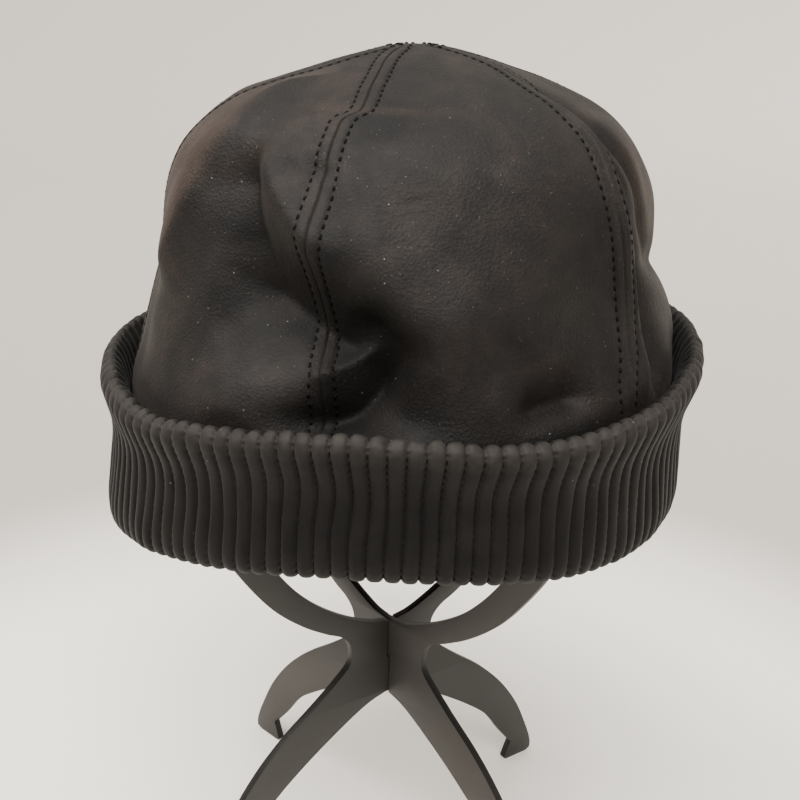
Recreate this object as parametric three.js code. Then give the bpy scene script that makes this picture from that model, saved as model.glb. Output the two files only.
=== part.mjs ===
// A leather cap with six crown gores and a ribbed, turned-up cuff, resting on a folding stand of two
// crossed plates. Millimetres, +Z up. The origin is on the floor under the middle of the stand.
// Azimuth is in degrees: 0 is the front (-Y), positive turns towards +X.
import * as THREE from 'three';
import { mergeVertices } from 'three/addons/utils/BufferGeometryUtils.js';

// Crown sizes
const LEATHER = 1.8;             // wall of a gore
const SEAM_GAP = 0.3;            // gap between two gores along their seam
const APEX_HOLE = 1.4;           // radius at which the six points of the gores stop
const CROWN_FOOT = 165.0;        // lower edge of the crown, inside the cuff, whose lower edge it follows
const SEAM_CREASE = 0.7;         // how far the leather is drawn in along a seam
const SEAM_REACH = 3.2;          // half width of that drawn-in strip
const CELLS_ACROSS = 8;
const CROWN_HEIGHTS = [308.45, 307.2, 304.6, 299.5, 292.5, 284, 275, 265, 255, 246, 238, 230, 221, 211, 202, 184];

// Cuff sizes
const RIBS = 120;
const RIB_POINTS = 3;            // points around one rib: its groove and the two shoulders
const CUFF_INNER = 95.4;
const CUFF_EDGE_HEIGHT = 162.2;  // lower edge of the cuff at the front

// The cap leans over on the stand: its right side is higher
const LEAN = 0.057;              // rise per millimetre towards +X
const LEAN_TOP = 300;            // the lean fades out between the rim and this height
const RIM_HEIGHT = 208.7;         // top of the rolled rim

// Stand sizes
const PLATE = 3.0;
const PLATE_A_AZIMUTH = -53.3;   // the front leg of plate A points this way
const PLATE_B_AZIMUTH = 45.9;
const WAIST_MIDDLE = 76.5;       // the two slots at the waist meet here
const ARCH_MIDDLE = 299.4;       // and the two at the top of the arch here
const SLOT_CLEARANCE = 0.3;
const APEX_CLEARANCE = 0.35;     // between the top of the arch and the leather
const ARM_CLEARANCE = 2.0;       // between the arms and the leather lower down
const CURVE_STEPS = 1;          // points for each point that a curve is drawn through

// Radius of the crown at each height, before the folds
const CROWN_PROFILE = [
  { height: 308.5, radius: 0 },
  { height: 307.3, radius: 10 },
  { height: 305.5, radius: 18 },
  { height: 303.0, radius: 27 },
  { height: 300.0, radius: 36 },
  { height: 296.5, radius: 46 },
  { height: 292.5, radius: 55.5 },
  { height: 288.0, radius: 63 },
  { height: 283.0, radius: 69 },
  { height: 277.0, radius: 74 },
  { height: 270.0, radius: 77.5 },
  { height: 262.0, radius: 80 },
  { height: 252.0, radius: 82 },
  { height: 240.0, radius: 84 },
  { height: 230.0, radius: 86.5 },
  { height: 221.0, radius: 89 },
  { height: 212.0, radius: 92 },
  { height: 204.0, radius: 94.4 },
  { height: 196.0, radius: 95 },
  { height: 160.0, radius: 95 },
];

// Ridges over the arms of the stand (out is positive) and dents where the leather sags (negative).
// Length and width are the reach of each fold along and across its run; turn is the angle of the
// run from upright, positive when its top leans to the right.
const FOLDS = [
  { name: 'front left arm ridge', azimuth: -57, height: 252, out: 4.2, length: 30, width: 9, turn: -6 },
  { name: 'front right arm ridge', azimuth: 58, height: 240, out: 2.6, length: 34, width: 7, turn: 0 },
  { name: 'valley behind the right ridge', azimuth: 75, height: 219, out: -9, length: 24, width: 8, turn: 4 },
  { name: 'right lobe', azimuth: 98, height: 256, out: 3, length: 16, width: 15, turn: 0 },
  { name: 'foot of the right lobe', azimuth: 102, height: 216, out: 3.5, length: 8, width: 15, turn: 0 },
  { name: 'left side over the seam', azimuth: -84, height: 262, out: 1.6, length: 16, width: 14, turn: 0 },
  { name: 'back right arm ridge', azimuth: 127, height: 245, out: 3, length: 30, width: 9, turn: 0 },
  { name: 'back sag', azimuth: 175, height: 240, out: -5, length: 24, width: 22, turn: 0 },
  { name: 'back left arm ridge', azimuth: -134, height: 245, out: 3, length: 30, width: 9, turn: 0 },
  { name: 'diagonal trough', azimuth: -38, height: 262, out: -6.6, length: 15, width: 6.3, turn: -16 },
  { name: 'deep dent', azimuth: -21, height: 238, out: -12.7, length: 18, width: 9.3, turn: -66 },
  { name: 'wing of the dent', azimuth: -3, height: 226, out: -11.1, length: 15, width: 8.5, turn: -15 },
  { name: 'fold down to the rim', azimuth: -12, height: 208, out: -13.2, length: 12, width: 7.4, turn: 72 },
  { name: 'roll over the dent', azimuth: -3, height: 246, out: 5.9, length: 17, width: 11.2, turn: -57 },
  { name: 'low swelling at the left', azimuth: -33, height: 211, out: 3.6, length: 8, width: 9.2, turn: -7 },
  { name: 'valley along the rim', azimuth: 30, height: 210, out: -5.5, length: 9, width: 7.2, turn: 76 },
  { name: 'swelling over the trough', azimuth: -23, height: 265, out: 4.0, length: 21, width: 5.5, turn: -48 },
  { name: 'soft rise at the right', azimuth: 17, height: 241, out: 5.4, length: 26, width: 13.5, turn: 62 },
];

// Azimuth of each seam: straight ones only name it, the front one wanders where the leather folds
const SEAMS = {
  front: [
    { height: 308, azimuth: -34 },
    { height: 303, azimuth: -22 },
    { height: 298, azimuth: -18 },
    { height: 270, azimuth: -18.8 },
    { height: 248, azimuth: -18.8 },
    { height: 226, azimuth: -16.6 },
    { height: 216, azimuth: -15.6 },
  ],
  frontRight: [
    { height: 308, azimuth: 80 },
    { height: 303, azimuth: 68 },
    { height: 298, azimuth: 56 },
    { height: 292, azimuth: 51.5 },
    { height: 272, azimuth: 48.5 },
    { height: 262, azimuth: 48.5 },
    { height: 240, azimuth: 51 },
    { height: 206, azimuth: 48.2 },
  ],
  backRight: [{ height: 308, azimuth: 110.8 }],
  back: [{ height: 308, azimuth: 169.6 }],
  backLeft: [{ height: 292, azimuth: 228 }, { height: 272, azimuth: 224 }],
  frontLeft: [{ height: 294, azimuth: -73.5 }, { height: 284, azimuth: -83 }, { height: 262, azimuth: -85 }],
};

// Each gore runs from one seam to the next towards the right
const GORES = [
  { name: 'crown_panel_front', from: 'front', to: 'frontRight', turns: 0 },
  { name: 'crown_panel_front_right', from: 'frontRight', to: 'backRight', turns: 0 },
  { name: 'crown_panel_back_right', from: 'backRight', to: 'back', turns: 0 },
  { name: 'crown_panel_back', from: 'back', to: 'backLeft', turns: 0 },
  { name: 'crown_panel_back_left', from: 'backLeft', to: 'frontLeft', turns: 1 },
  { name: 'crown_panel_front_left', from: 'frontLeft', to: 'front', turns: 0 },
];

// Section of the cuff, from the inside of its lower edge up the inside, over the rolled rim and
// down the outside. The last two columns say how far the groove between two ribs lies from it.
const CUFF_SECTION = [
  { radius: 95.4, height: 163.6, grooveOut: 0, grooveUp: 0 },
  { radius: 95.4, height: 196.0, grooveOut: 0, grooveUp: 0 },
  { radius: 97.6, height: 205.5, grooveOut: 0.9, grooveUp: -0.7 },
  { radius: 101.0, height: 208.7, grooveOut: 0, grooveUp: -1.5 },
  { radius: 104.9, height: 205.2, grooveOut: -1.4, grooveUp: -0.5 },
  { radius: 100.8, height: 192.0, grooveOut: -1.7, grooveUp: 0 },
  { radius: 101.8, height: 173.0, grooveOut: -1.7, grooveUp: 0 },
  { radius: 99.8, height: 163.4, grooveOut: -1.2, grooveUp: 0.9 },
  { radius: 97.6, height: 162.2, grooveOut: 0, grooveUp: 0.9 },
];

// The cuff isn't quite even. At each azimuth its rim and its lower edge lie this much higher than
// in the section, and its lower edge this much further out.
const CUFF_WAVES = [
  { azimuth: -180, rim: 0, edge: -3, edgeOut: 0 },
  { azimuth: -110, rim: 2, edge: -11, edgeOut: 2 },
  { azimuth: -78, rim: 0.5, edge: -12, edgeOut: 3 },
  { azimuth: -52, rim: -4, edge: -7.5, edgeOut: 1 },
  { azimuth: -38, rim: -2, edge: -4.5, edgeOut: 0 },
  { azimuth: -14, rim: 1.6, edge: 0.5, edgeOut: 0 },
  { azimuth: 0, rim: 0.8, edge: 0.3, edgeOut: 0 },
  { azimuth: 20, rim: -3.6, edge: -3.7, edgeOut: 0 },
  { azimuth: 45, rim: -4, edge: -8.8, edgeOut: 0 },
  { azimuth: 75, rim: 0.5, edge: -10.5, edgeOut: -1 },
  { azimuth: 110, rim: 3, edge: -9, edgeOut: -1 },
  { azimuth: 180, rim: 0, edge: -3, edgeOut: 0 },
];

// Half outline of a stand plate: distance from the middle and height
const LEG_OUTER = [[80.6, 1.2], [80.4, 5], [77.5, 13], [70, 28.5], [60, 42.5], [48, 54.5], [34, 65.2], [22.5, 74]];
const WAIST = [[18.2, 79], [17.4, 83.5], [19.2, 88]];
const ARM_OUTER = [[30, 95], [42, 102.9], [54, 113.4], [65, 127.5], [74, 142], [82, 160], [87, 180], [89, 200]];
const ARM_INNER = [[10, 94.4], [24, 101.4], [38, 111.8], [50, 125], [59.5, 140], [67, 158], [72, 180], [74, 205],
  [73, 228], [68.5, 249], [60, 266], [47, 279], [28, 289.5]];
const ARM_INNER_FOOT = 92.6;
const ARCH_INNER_TOP = 292.8;
const LEG_INNER = [[11, 57.4], [24, 50], [39.5, 39.6], [53, 28.5], [62, 16.6], [68.6, 8.6]];
const LEG_INNER_TOP = 60.2;
const TOE_TIP = 65.7;
const HEEL = 79.4;

const radians = THREE.MathUtils.degToRad;

/** Reads a table at a value of its key column, straight between its rows and level past its ends. */
function lookUp(table, key, column, at) {
  const rising = table[0][key] < table[table.length - 1][key];
  const rows = rising ? table : [...table].reverse();
  if (at <= rows[0][key]) return rows[0][column];
  for (let i = 1; i < rows.length; i += 1) {
    if (at <= rows[i][key]) {
      const share = (at - rows[i - 1][key]) / (rows[i][key] - rows[i - 1][key]);
      return THREE.MathUtils.lerp(rows[i - 1][column], rows[i][column], share);
    }
  }
  return rows[rows.length - 1][column];
}

/** Difference of two azimuths, between -180 and 180 degrees. */
function turnBetween(a, b) {
  return THREE.MathUtils.euclideanModulo(a - b + 180, 360) - 180;
}

/** Lean of the cap at a place, as a rise in millimetres. */
function leanAt(x, height) {
  const fade = THREE.MathUtils.clamp((LEAN_TOP - height) / (LEAN_TOP - RIM_HEIGHT), 0, 1);
  return LEAN * x * fade;
}

/** How far all folds together move the crown outwards at a place. */
function foldsAt(azimuth, height, radius) {
  let out = 0;
  for (const fold of FOLDS) {
    const aside = radians(turnBetween(azimuth, fold.azimuth)) * radius;
    const up = height - fold.height;
    const run = radians(fold.turn);
    const along = up * Math.cos(run) + aside * Math.sin(run);
    const across = aside * Math.cos(run) - up * Math.sin(run);
    out += fold.out * Math.exp(-0.5 * ((along / fold.length) ** 2 + (across / fold.width) ** 2));
  }
  return out;
}

/** Distance along the leather from an azimuth to the nearest seam. */
function seamDistance(azimuth, height, radius) {
  let nearest = Infinity;
  for (const rows of Object.values(SEAMS)) {
    const seam = lookUp(rows, 'height', 'azimuth', height);
    nearest = Math.min(nearest, Math.abs(radians(turnBetween(azimuth, seam))) * radius);
  }
  return nearest;
}

/** Outer radius of the crown. The folds die out at the top and inside the cuff. */
function crownRadius(azimuth, height) {
  const plain = lookUp(CROWN_PROFILE, 'height', 'radius', height);
  const belowTop = THREE.MathUtils.smoothstep(plain, 20, 60);
  const aboveCuff = THREE.MathUtils.smoothstep(height, 198, 212);
  const crease = SEAM_CREASE * Math.exp(-((seamDistance(azimuth, height, plain) / SEAM_REACH) ** 2));
  const folded = Math.max(plain, APEX_HOLE) + (foldsAt(azimuth, height, plain) - crease) * belowTop * aboveCuff;
  const cuffWall = THREE.MathUtils.lerp(CUFF_INNER - 0.4, 140, THREE.MathUtils.smoothstep(height, 200, 300));
  return Math.min(folded, cuffWall);
}

/** Point of the crown's outer face. */
function crownPoint(azimuth, height) {
  const radius = crownRadius(azimuth, height);
  const x = radius * Math.sin(radians(azimuth));
  const y = -radius * Math.cos(radians(azimuth));
  return new THREE.Vector3(x, y, height + leanAt(x, height));
}

/** Outward direction of the crown's face, from its slopes. */
function crownNormal(azimuth, height) {
  const step = 1.0;
  const turn = 1.5;
  const upper = Math.min(height + step, 308.4);
  const across = crownPoint(azimuth + turn, height).sub(crownPoint(azimuth - turn, height));
  const upward = crownPoint(azimuth, upper).sub(crownPoint(azimuth, height - step));
  return across.cross(upward).normalize();
}

/** Makes one closed geometry from rings of points: ring after ring, each ring closed on itself. */
function closedGrid(rings, capEnds) {
  const size = rings[0].length;
  const positions = [];
  for (const ring of rings) for (const point of ring) positions.push(point.x, point.y, point.z);
  const faces = [];
  const bands = capEnds ? rings.length - 1 : rings.length;
  for (let i = 0; i < bands; i += 1) {
    const next = (i + 1) % rings.length;
    for (let j = 0; j < size; j += 1) {
      const right = (j + 1) % size;
      const [a, b] = [i * size + j, i * size + right];
      const [c, d] = [next * size + j, next * size + right];
      faces.push(a, b, d, a, d, c);
    }
  }
  if (capEnds) {
    // A cap joins the outer row of points of an end ring to its inner row, pair by pair
    for (const [first, flip] of [[0, true], [(rings.length - 1) * size, false]]) {
      for (let j = 0; j < size / 2 - 1; j += 1) {
        const [a, b] = [first + j, first + j + 1];
        const [c, d] = [first + size - 1 - j, first + size - 2 - j];
        if (flip) faces.push(a, d, b, a, c, d);
        else faces.push(a, b, d, a, d, c);
      }
    }
  }
  const geometry = new THREE.BufferGeometry();
  geometry.setAttribute('position', new THREE.Float32BufferAttribute(positions, 3));
  geometry.setIndex(faces);
  return geometry;
}

/** A gore: a curved leather wall between two seams, from the top of the crown down into the cuff. */
function goreGeometry(gore) {
  const rings = [...CROWN_HEIGHTS, CROWN_FOOT].map((height) => {
    const outer = [];
    const inner = [];
    const plain = Math.max(lookUp(CROWN_PROFILE, 'height', 'radius', height), APEX_HOLE);
    const margin = THREE.MathUtils.radToDeg((SEAM_GAP / 2) / plain);
    const start = lookUp(SEAMS[gore.from], 'height', 'azimuth', height) + margin;
    const end = lookUp(SEAMS[gore.to], 'height', 'azimuth', height) + 360 * gore.turns - margin;
    for (let j = 0; j <= CELLS_ACROSS; j += 1) {
      const azimuth = THREE.MathUtils.lerp(start, end, j / CELLS_ACROSS);
      const level = height === CROWN_FOOT ? height + cuffWave('edge', azimuth) : height;
      const point = crownPoint(azimuth, level);
      const tangent = new THREE.Vector3(Math.cos(radians(azimuth)), Math.sin(radians(azimuth)), 0);
      // The wall is thickened inside the gore's own sector, so neighbours never meet
      const normal = crownNormal(azimuth, level);
      normal.addScaledVector(tangent, -normal.dot(tangent)).normalize();
      if (Math.hypot(point.x, point.y) < 6) normal.set(0, 0, 1);
      outer.push(point);
      inner.push(point.clone().addScaledVector(normal, -LEATHER));
    }
    return [...outer, ...inner.reverse()];
  });
  return closedGrid(rings.reverse(), true);
}

/** One column of the cuff's unevenness at an azimuth. */
function cuffWave(column, azimuth) {
  return lookUp(CUFF_WAVES, 'azimuth', column, turnBetween(azimuth, 0));
}

/** The cuff: a ring whose section is swept round, with a groove between every two ribs. */
function cuffGeometry() {
  const around = RIBS * RIB_POINTS;
  const rings = [];
  for (let i = 0; i < around; i += 1) {
    const azimuth = (360 * i) / around;
    const groove = i % RIB_POINTS === 0 ? 1 : 0;
    const rim = cuffWave('rim', azimuth);
    const edge = cuffWave('edge', azimuth);
    const edgeOut = cuffWave('edgeOut', azimuth);
    rings.push(CUFF_SECTION.map((row) => {
      const share = (row.height - CUFF_EDGE_HEIGHT) / (RIM_HEIGHT - CUFF_EDGE_HEIGHT);
      const outside = row.radius > CUFF_INNER ? 1 - share : 0;
      const radius = row.radius + groove * row.grooveOut + outside * edgeOut;
      const x = radius * Math.sin(radians(azimuth));
      const y = -radius * Math.cos(radians(azimuth));
      const height = row.height + groove * row.grooveUp + THREE.MathUtils.lerp(edge, rim, share);
      return new THREE.Vector3(x, y, height + leanAt(x, row.height));
    }));
  }
  return closedGrid(rings, false);
}

/** Height and distance of the arch's outer edge: the inside of the crown, less a clearance. */
function archEdge() {
  const edge = [];
  const heights = [212, 224, 236, 248, 258, 267, 275, 281.5, 287, 291.5, 295.5, 299, 302, 304.3, 306, 307.2];
  for (const height of heights) {
    const radius = lookUp(CROWN_PROFILE, 'height', 'radius', height);
    const above = lookUp(CROWN_PROFILE, 'height', 'radius', Math.min(height + 1.5, 308.4));
    const below = lookUp(CROWN_PROFILE, 'height', 'radius', height - 1.5);
    const outward = new THREE.Vector2(Math.min(height + 1.5, 308.4) - height + 1.5, below - above).normalize();
    const lower = THREE.MathUtils.smoothstep(radius, 10, 45);
    const inset = LEATHER + THREE.MathUtils.lerp(APEX_CLEARANCE, ARM_CLEARANCE, lower);
    edge.push([radius - outward.x * inset, height - outward.y * inset]);
  }
  return edge;
}

/** A stand plate's outline. slotFromTop says from which side its two slots are cut. */
function plateShape(slotFromTop) {
  const crossing = Math.abs(radians(PLATE_B_AZIMUTH - PLATE_A_AZIMUTH));
  const slot = ((PLATE / 2) * (1 + Math.abs(Math.cos(crossing)))) / Math.sin(crossing) + SLOT_CLEARANCE;
  const archTop = lookUp(CROWN_PROFILE, 'radius', 'height', slot) - LEATHER - APEX_CLEARANCE;
  const end = slotFromTop ? -SLOT_CLEARANCE / 2 : SLOT_CLEARANCE / 2;
  const points = (list, side) => list.map(([away, height]) => new THREE.Vector2(away * side, height));
  const mirrored = (list) => points(list, -1).reverse();

  const outline = new THREE.Shape();
  const legSide = [...LEG_OUTER, ...WAIST, ...ARM_OUTER, ...archEdge()];
  outline.moveTo(HEEL, 0);
  outline.lineTo(...legSide[0]);
  outline.splineThru(points(legSide.slice(1), 1));
  outline.lineTo(slot, archTop);
  if (slotFromTop) {
    outline.lineTo(slot, ARCH_MIDDLE + end);
    outline.lineTo(-slot, ARCH_MIDDLE + end);
  }
  outline.lineTo(-slot, archTop);
  outline.lineTo(...mirrored(legSide)[0].toArray());
  outline.splineThru(mirrored(legSide).slice(1));
  outline.lineTo(-HEEL, 0);
  outline.lineTo(-TOE_TIP, 0);
  outline.lineTo(...mirrored(LEG_INNER)[0].toArray());
  outline.splineThru(mirrored(LEG_INNER).slice(1));
  outline.lineTo(-slot, LEG_INNER_TOP);
  if (!slotFromTop) {
    outline.lineTo(-slot, WAIST_MIDDLE + end);
    outline.lineTo(slot, WAIST_MIDDLE + end);
  }
  outline.lineTo(slot, LEG_INNER_TOP);
  outline.splineThru(points(LEG_INNER, 1));
  outline.lineTo(TOE_TIP, 0);

  const opening = new THREE.Path();
  opening.moveTo(slot, ARM_INNER_FOOT);
  opening.splineThru(points(ARM_INNER, 1));
  opening.lineTo(slot, ARCH_INNER_TOP);
  if (!slotFromTop) {
    opening.lineTo(slot, ARCH_MIDDLE + end);
    opening.lineTo(-slot, ARCH_MIDDLE + end);
  }
  opening.lineTo(-slot, ARCH_INNER_TOP);
  opening.splineThru(mirrored(ARM_INNER));
  opening.lineTo(-slot, ARM_INNER_FOOT);
  if (slotFromTop) {
    opening.lineTo(-slot, WAIST_MIDDLE + end);
    opening.lineTo(slot, WAIST_MIDDLE + end);
  }
  outline.holes.push(opening);
  return outline;
}

/** A stand plate, upright, with its front leg along the azimuth. */
function plateGeometry(azimuth, slotFromTop) {
  const geometry = new THREE.ExtrudeGeometry(plateShape(slotFromTop), {
    depth: PLATE,
    bevelEnabled: false,
    curveSegments: CURVE_STEPS,
  });
  geometry.translate(0, 0, -PLATE / 2);
  geometry.rotateX(Math.PI / 2);
  geometry.rotateZ(radians(azimuth - 90));
  geometry.deleteAttribute('normal');
  geometry.deleteAttribute('uv');
  return mergeVertices(geometry, 1e-4);
}

const crownLeather = { color: 0x3d3a38, roughness: 0.72, metalness: 0 };
const cuffLeather = { color: 0x34312f, roughness: 0.62, metalness: 0 };
const standPlastic = { color: 0x4a4845, roughness: 0.6, metalness: 0 };

/** Adds a named mesh with a material of its own. */
function addMesh(group, name, geometry, finish) {
  const mesh = new THREE.Mesh(geometry, new THREE.MeshStandardMaterial(finish));
  mesh.name = name;
  group.add(mesh);
}

const cap = new THREE.Group();
for (const gore of GORES) addMesh(cap, gore.name, goreGeometry(gore), crownLeather);
addMesh(cap, 'ribbed_cuff', cuffGeometry(), cuffLeather);

const stand = new THREE.Group();
addMesh(stand, 'stand_plate_a', plateGeometry(PLATE_A_AZIMUTH, true), standPlastic);
addMesh(stand, 'stand_plate_b', plateGeometry(PLATE_B_AZIMUTH, false), standPlastic);

const model = new THREE.Group();
model.add(cap, stand);

export default model;
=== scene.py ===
"""Leather cap with a ribbed, turned-up cuff on a folding stand of two plates.

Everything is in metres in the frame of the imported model: +Z up, the front of the cap towards -Y.
An azimuth is in degrees from the front, positive towards +X. Tables give heights and sizes in
millimetres, because that is how a cap is measured.
"""

import logging
import math
from collections.abc import Iterable
from dataclasses import dataclass, field
from enum import Enum
from typing import NamedTuple

import bmesh
import bpy
import numpy as np
from mathutils import Matrix, Vector

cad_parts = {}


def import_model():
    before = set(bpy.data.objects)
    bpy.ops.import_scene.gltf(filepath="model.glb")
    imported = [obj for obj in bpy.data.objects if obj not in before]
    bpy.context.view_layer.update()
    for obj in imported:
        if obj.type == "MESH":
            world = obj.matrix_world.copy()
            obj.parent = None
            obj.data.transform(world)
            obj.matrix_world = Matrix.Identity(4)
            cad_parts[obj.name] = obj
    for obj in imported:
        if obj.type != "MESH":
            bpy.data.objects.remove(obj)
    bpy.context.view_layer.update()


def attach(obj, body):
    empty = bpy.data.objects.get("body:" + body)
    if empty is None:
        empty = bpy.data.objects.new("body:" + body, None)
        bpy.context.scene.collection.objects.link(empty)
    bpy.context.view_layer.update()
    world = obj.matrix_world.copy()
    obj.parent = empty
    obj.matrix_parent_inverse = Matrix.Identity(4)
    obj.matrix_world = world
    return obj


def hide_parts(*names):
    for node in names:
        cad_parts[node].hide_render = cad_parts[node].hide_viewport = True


log = logging.getLogger("cap_scene")

MM = 0.001
BODY = "root"
ABS_IOR = 1.54


def linear(hex_colour: str) -> tuple[float, float, float, float]:
    """Turn an sRGB hex colour into linear values.

    Args:
        hex_colour: Six hex digits, with or without a leading #.

    Returns:
        Red, green, blue and an alpha of 1.
    """
    digits = hex_colour.lstrip("#")
    channels = [int(digits[i : i + 2], 16) / 255 for i in (0, 2, 4)]
    red, green, blue = (
        c / 12.92 if c <= 0.04045 else ((c + 0.055) / 1.055) ** 2.4 for c in channels
    )
    return (red, green, blue, 1.0)


def smoothstep(value: np.ndarray, low: float, high: float) -> np.ndarray:
    """Rise smoothly from 0 at low to 1 at high.

    Args:
        value: Where to read the step.
        low: Where it starts.
        high: Where it ends.

    Returns:
        The step's height at each value.
    """
    share = np.clip((value - low) / (high - low), 0.0, 1.0)
    return share * share * (3.0 - 2.0 * share)


def band(value: np.ndarray, low: float, full: float, full_end: float, end: float) -> np.ndarray:
    """Rise from 0 at low to 1 at full, stay there, and fall from full_end to 0 at end."""
    return smoothstep(value, low, full) * (1 - smoothstep(value, full_end, end))


def unit(rows: np.ndarray) -> np.ndarray:
    """Scale each row to a length of 1."""
    return rows / np.linalg.norm(rows, axis=1, keepdims=True)


def around_axis(radius: np.ndarray, azimuth: np.ndarray) -> tuple[np.ndarray, np.ndarray]:
    """x and y at a radius and an azimuth in degrees."""
    return radius * np.sin(np.radians(azimuth)), -radius * np.cos(np.radians(azimuth))


def walked(places: np.ndarray) -> np.ndarray:
    """Distance walked along a line of points, from 0 at the first of them."""
    return np.concatenate([[0.0], np.cumsum(np.linalg.norm(np.diff(places, axis=0), axis=1))])


def table(kind: type, *rows: tuple) -> tuple:
    """Rows of a table, each with the named columns of its kind."""
    return tuple(kind(*row) for row in rows)


def turn_between(a: np.ndarray, b: np.ndarray | float) -> np.ndarray:
    """Difference of two azimuths, from -180 to 180 degrees.

    Args:
        a: First azimuth.
        b: Second azimuth.

    Returns:
        a less b, the short way round.
    """
    return np.mod(np.asarray(a) - b + 180.0, 360.0) - 180.0


def smooth_curve(points: np.ndarray, per_span: int) -> np.ndarray:
    """Draw a Catmull-Rom curve through points.

    Args:
        points: The points, one a row.
        per_span: Steps between each two of them.

    Returns:
        The curve's points, the given ones among them.
    """
    ends = np.vstack([2 * points[0] - points[1], points, 2 * points[-1] - points[-2]])
    steps = np.linspace(0.0, 1.0, per_span, endpoint=False)[:, None]
    spans = []
    for p0, p1, p2, p3 in zip(ends[:-3], ends[1:-2], ends[2:-1], ends[3:]):
        spans.append(
            0.5
            * (
                2 * p1
                + (p2 - p0) * steps
                + (2 * p0 - 5 * p1 + 4 * p2 - p3) * steps**2
                + (3 * p1 - p0 - 3 * p2 + p3) * steps**3
            )
        )
    return np.vstack([*spans, points[-1:]])


class Ripple(NamedTuple):
    """Smooth, fixed unevenness: how far apart its humps lie, how high they are, which waves make it."""

    size: float
    height: float
    seed: int

    def at(self, places: np.ndarray) -> np.ndarray:
        """Add up a few crossed waves.

        Args:
            places: Points, one a row, in the unit of size.

        Returns:
            Values from about -height to height.
        """
        picker = np.random.default_rng(self.seed)
        total = np.zeros(places.shape[:-1])
        waves = 11
        for _ in range(waves):
            direction = picker.normal(size=3)
            direction *= picker.uniform(0.6, 1.5) * math.pi / self.size / np.linalg.norm(direction)
            total += np.sin(places @ direction + picker.uniform(0.0, 2 * math.pi))
        return total / math.sqrt(waves) * self.height


# Materials

Socket = bpy.types.NodeSocket


class Nodes:
    """A node tree and the one function that adds nodes to it."""

    tree: bpy.types.NodeTree

    def add(self, kind: str, links: dict[str | int, object], **settings: object) -> bpy.types.Node:
        """Add a node, set it up and link it.

        Args:
            kind: The node's type.
            links: Input name or index to the socket that feeds it, or to its value.
            settings: Properties of the node itself.

        Returns:
            The new node.
        """
        node = self.tree.nodes.new(kind)
        for name, value in settings.items():
            setattr(node, name, value)
        for name, value in links.items():
            if isinstance(value, Socket):
                self.tree.links.new(value, node.inputs[name])
            else:
                node.inputs[name].default_value = value
        return node


class Specks(NamedTuple):
    """Dust specks: how far apart their cells lie, their radius, the share of cells and the strength."""

    apart: float
    size: float
    share: float
    strength: float


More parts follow.
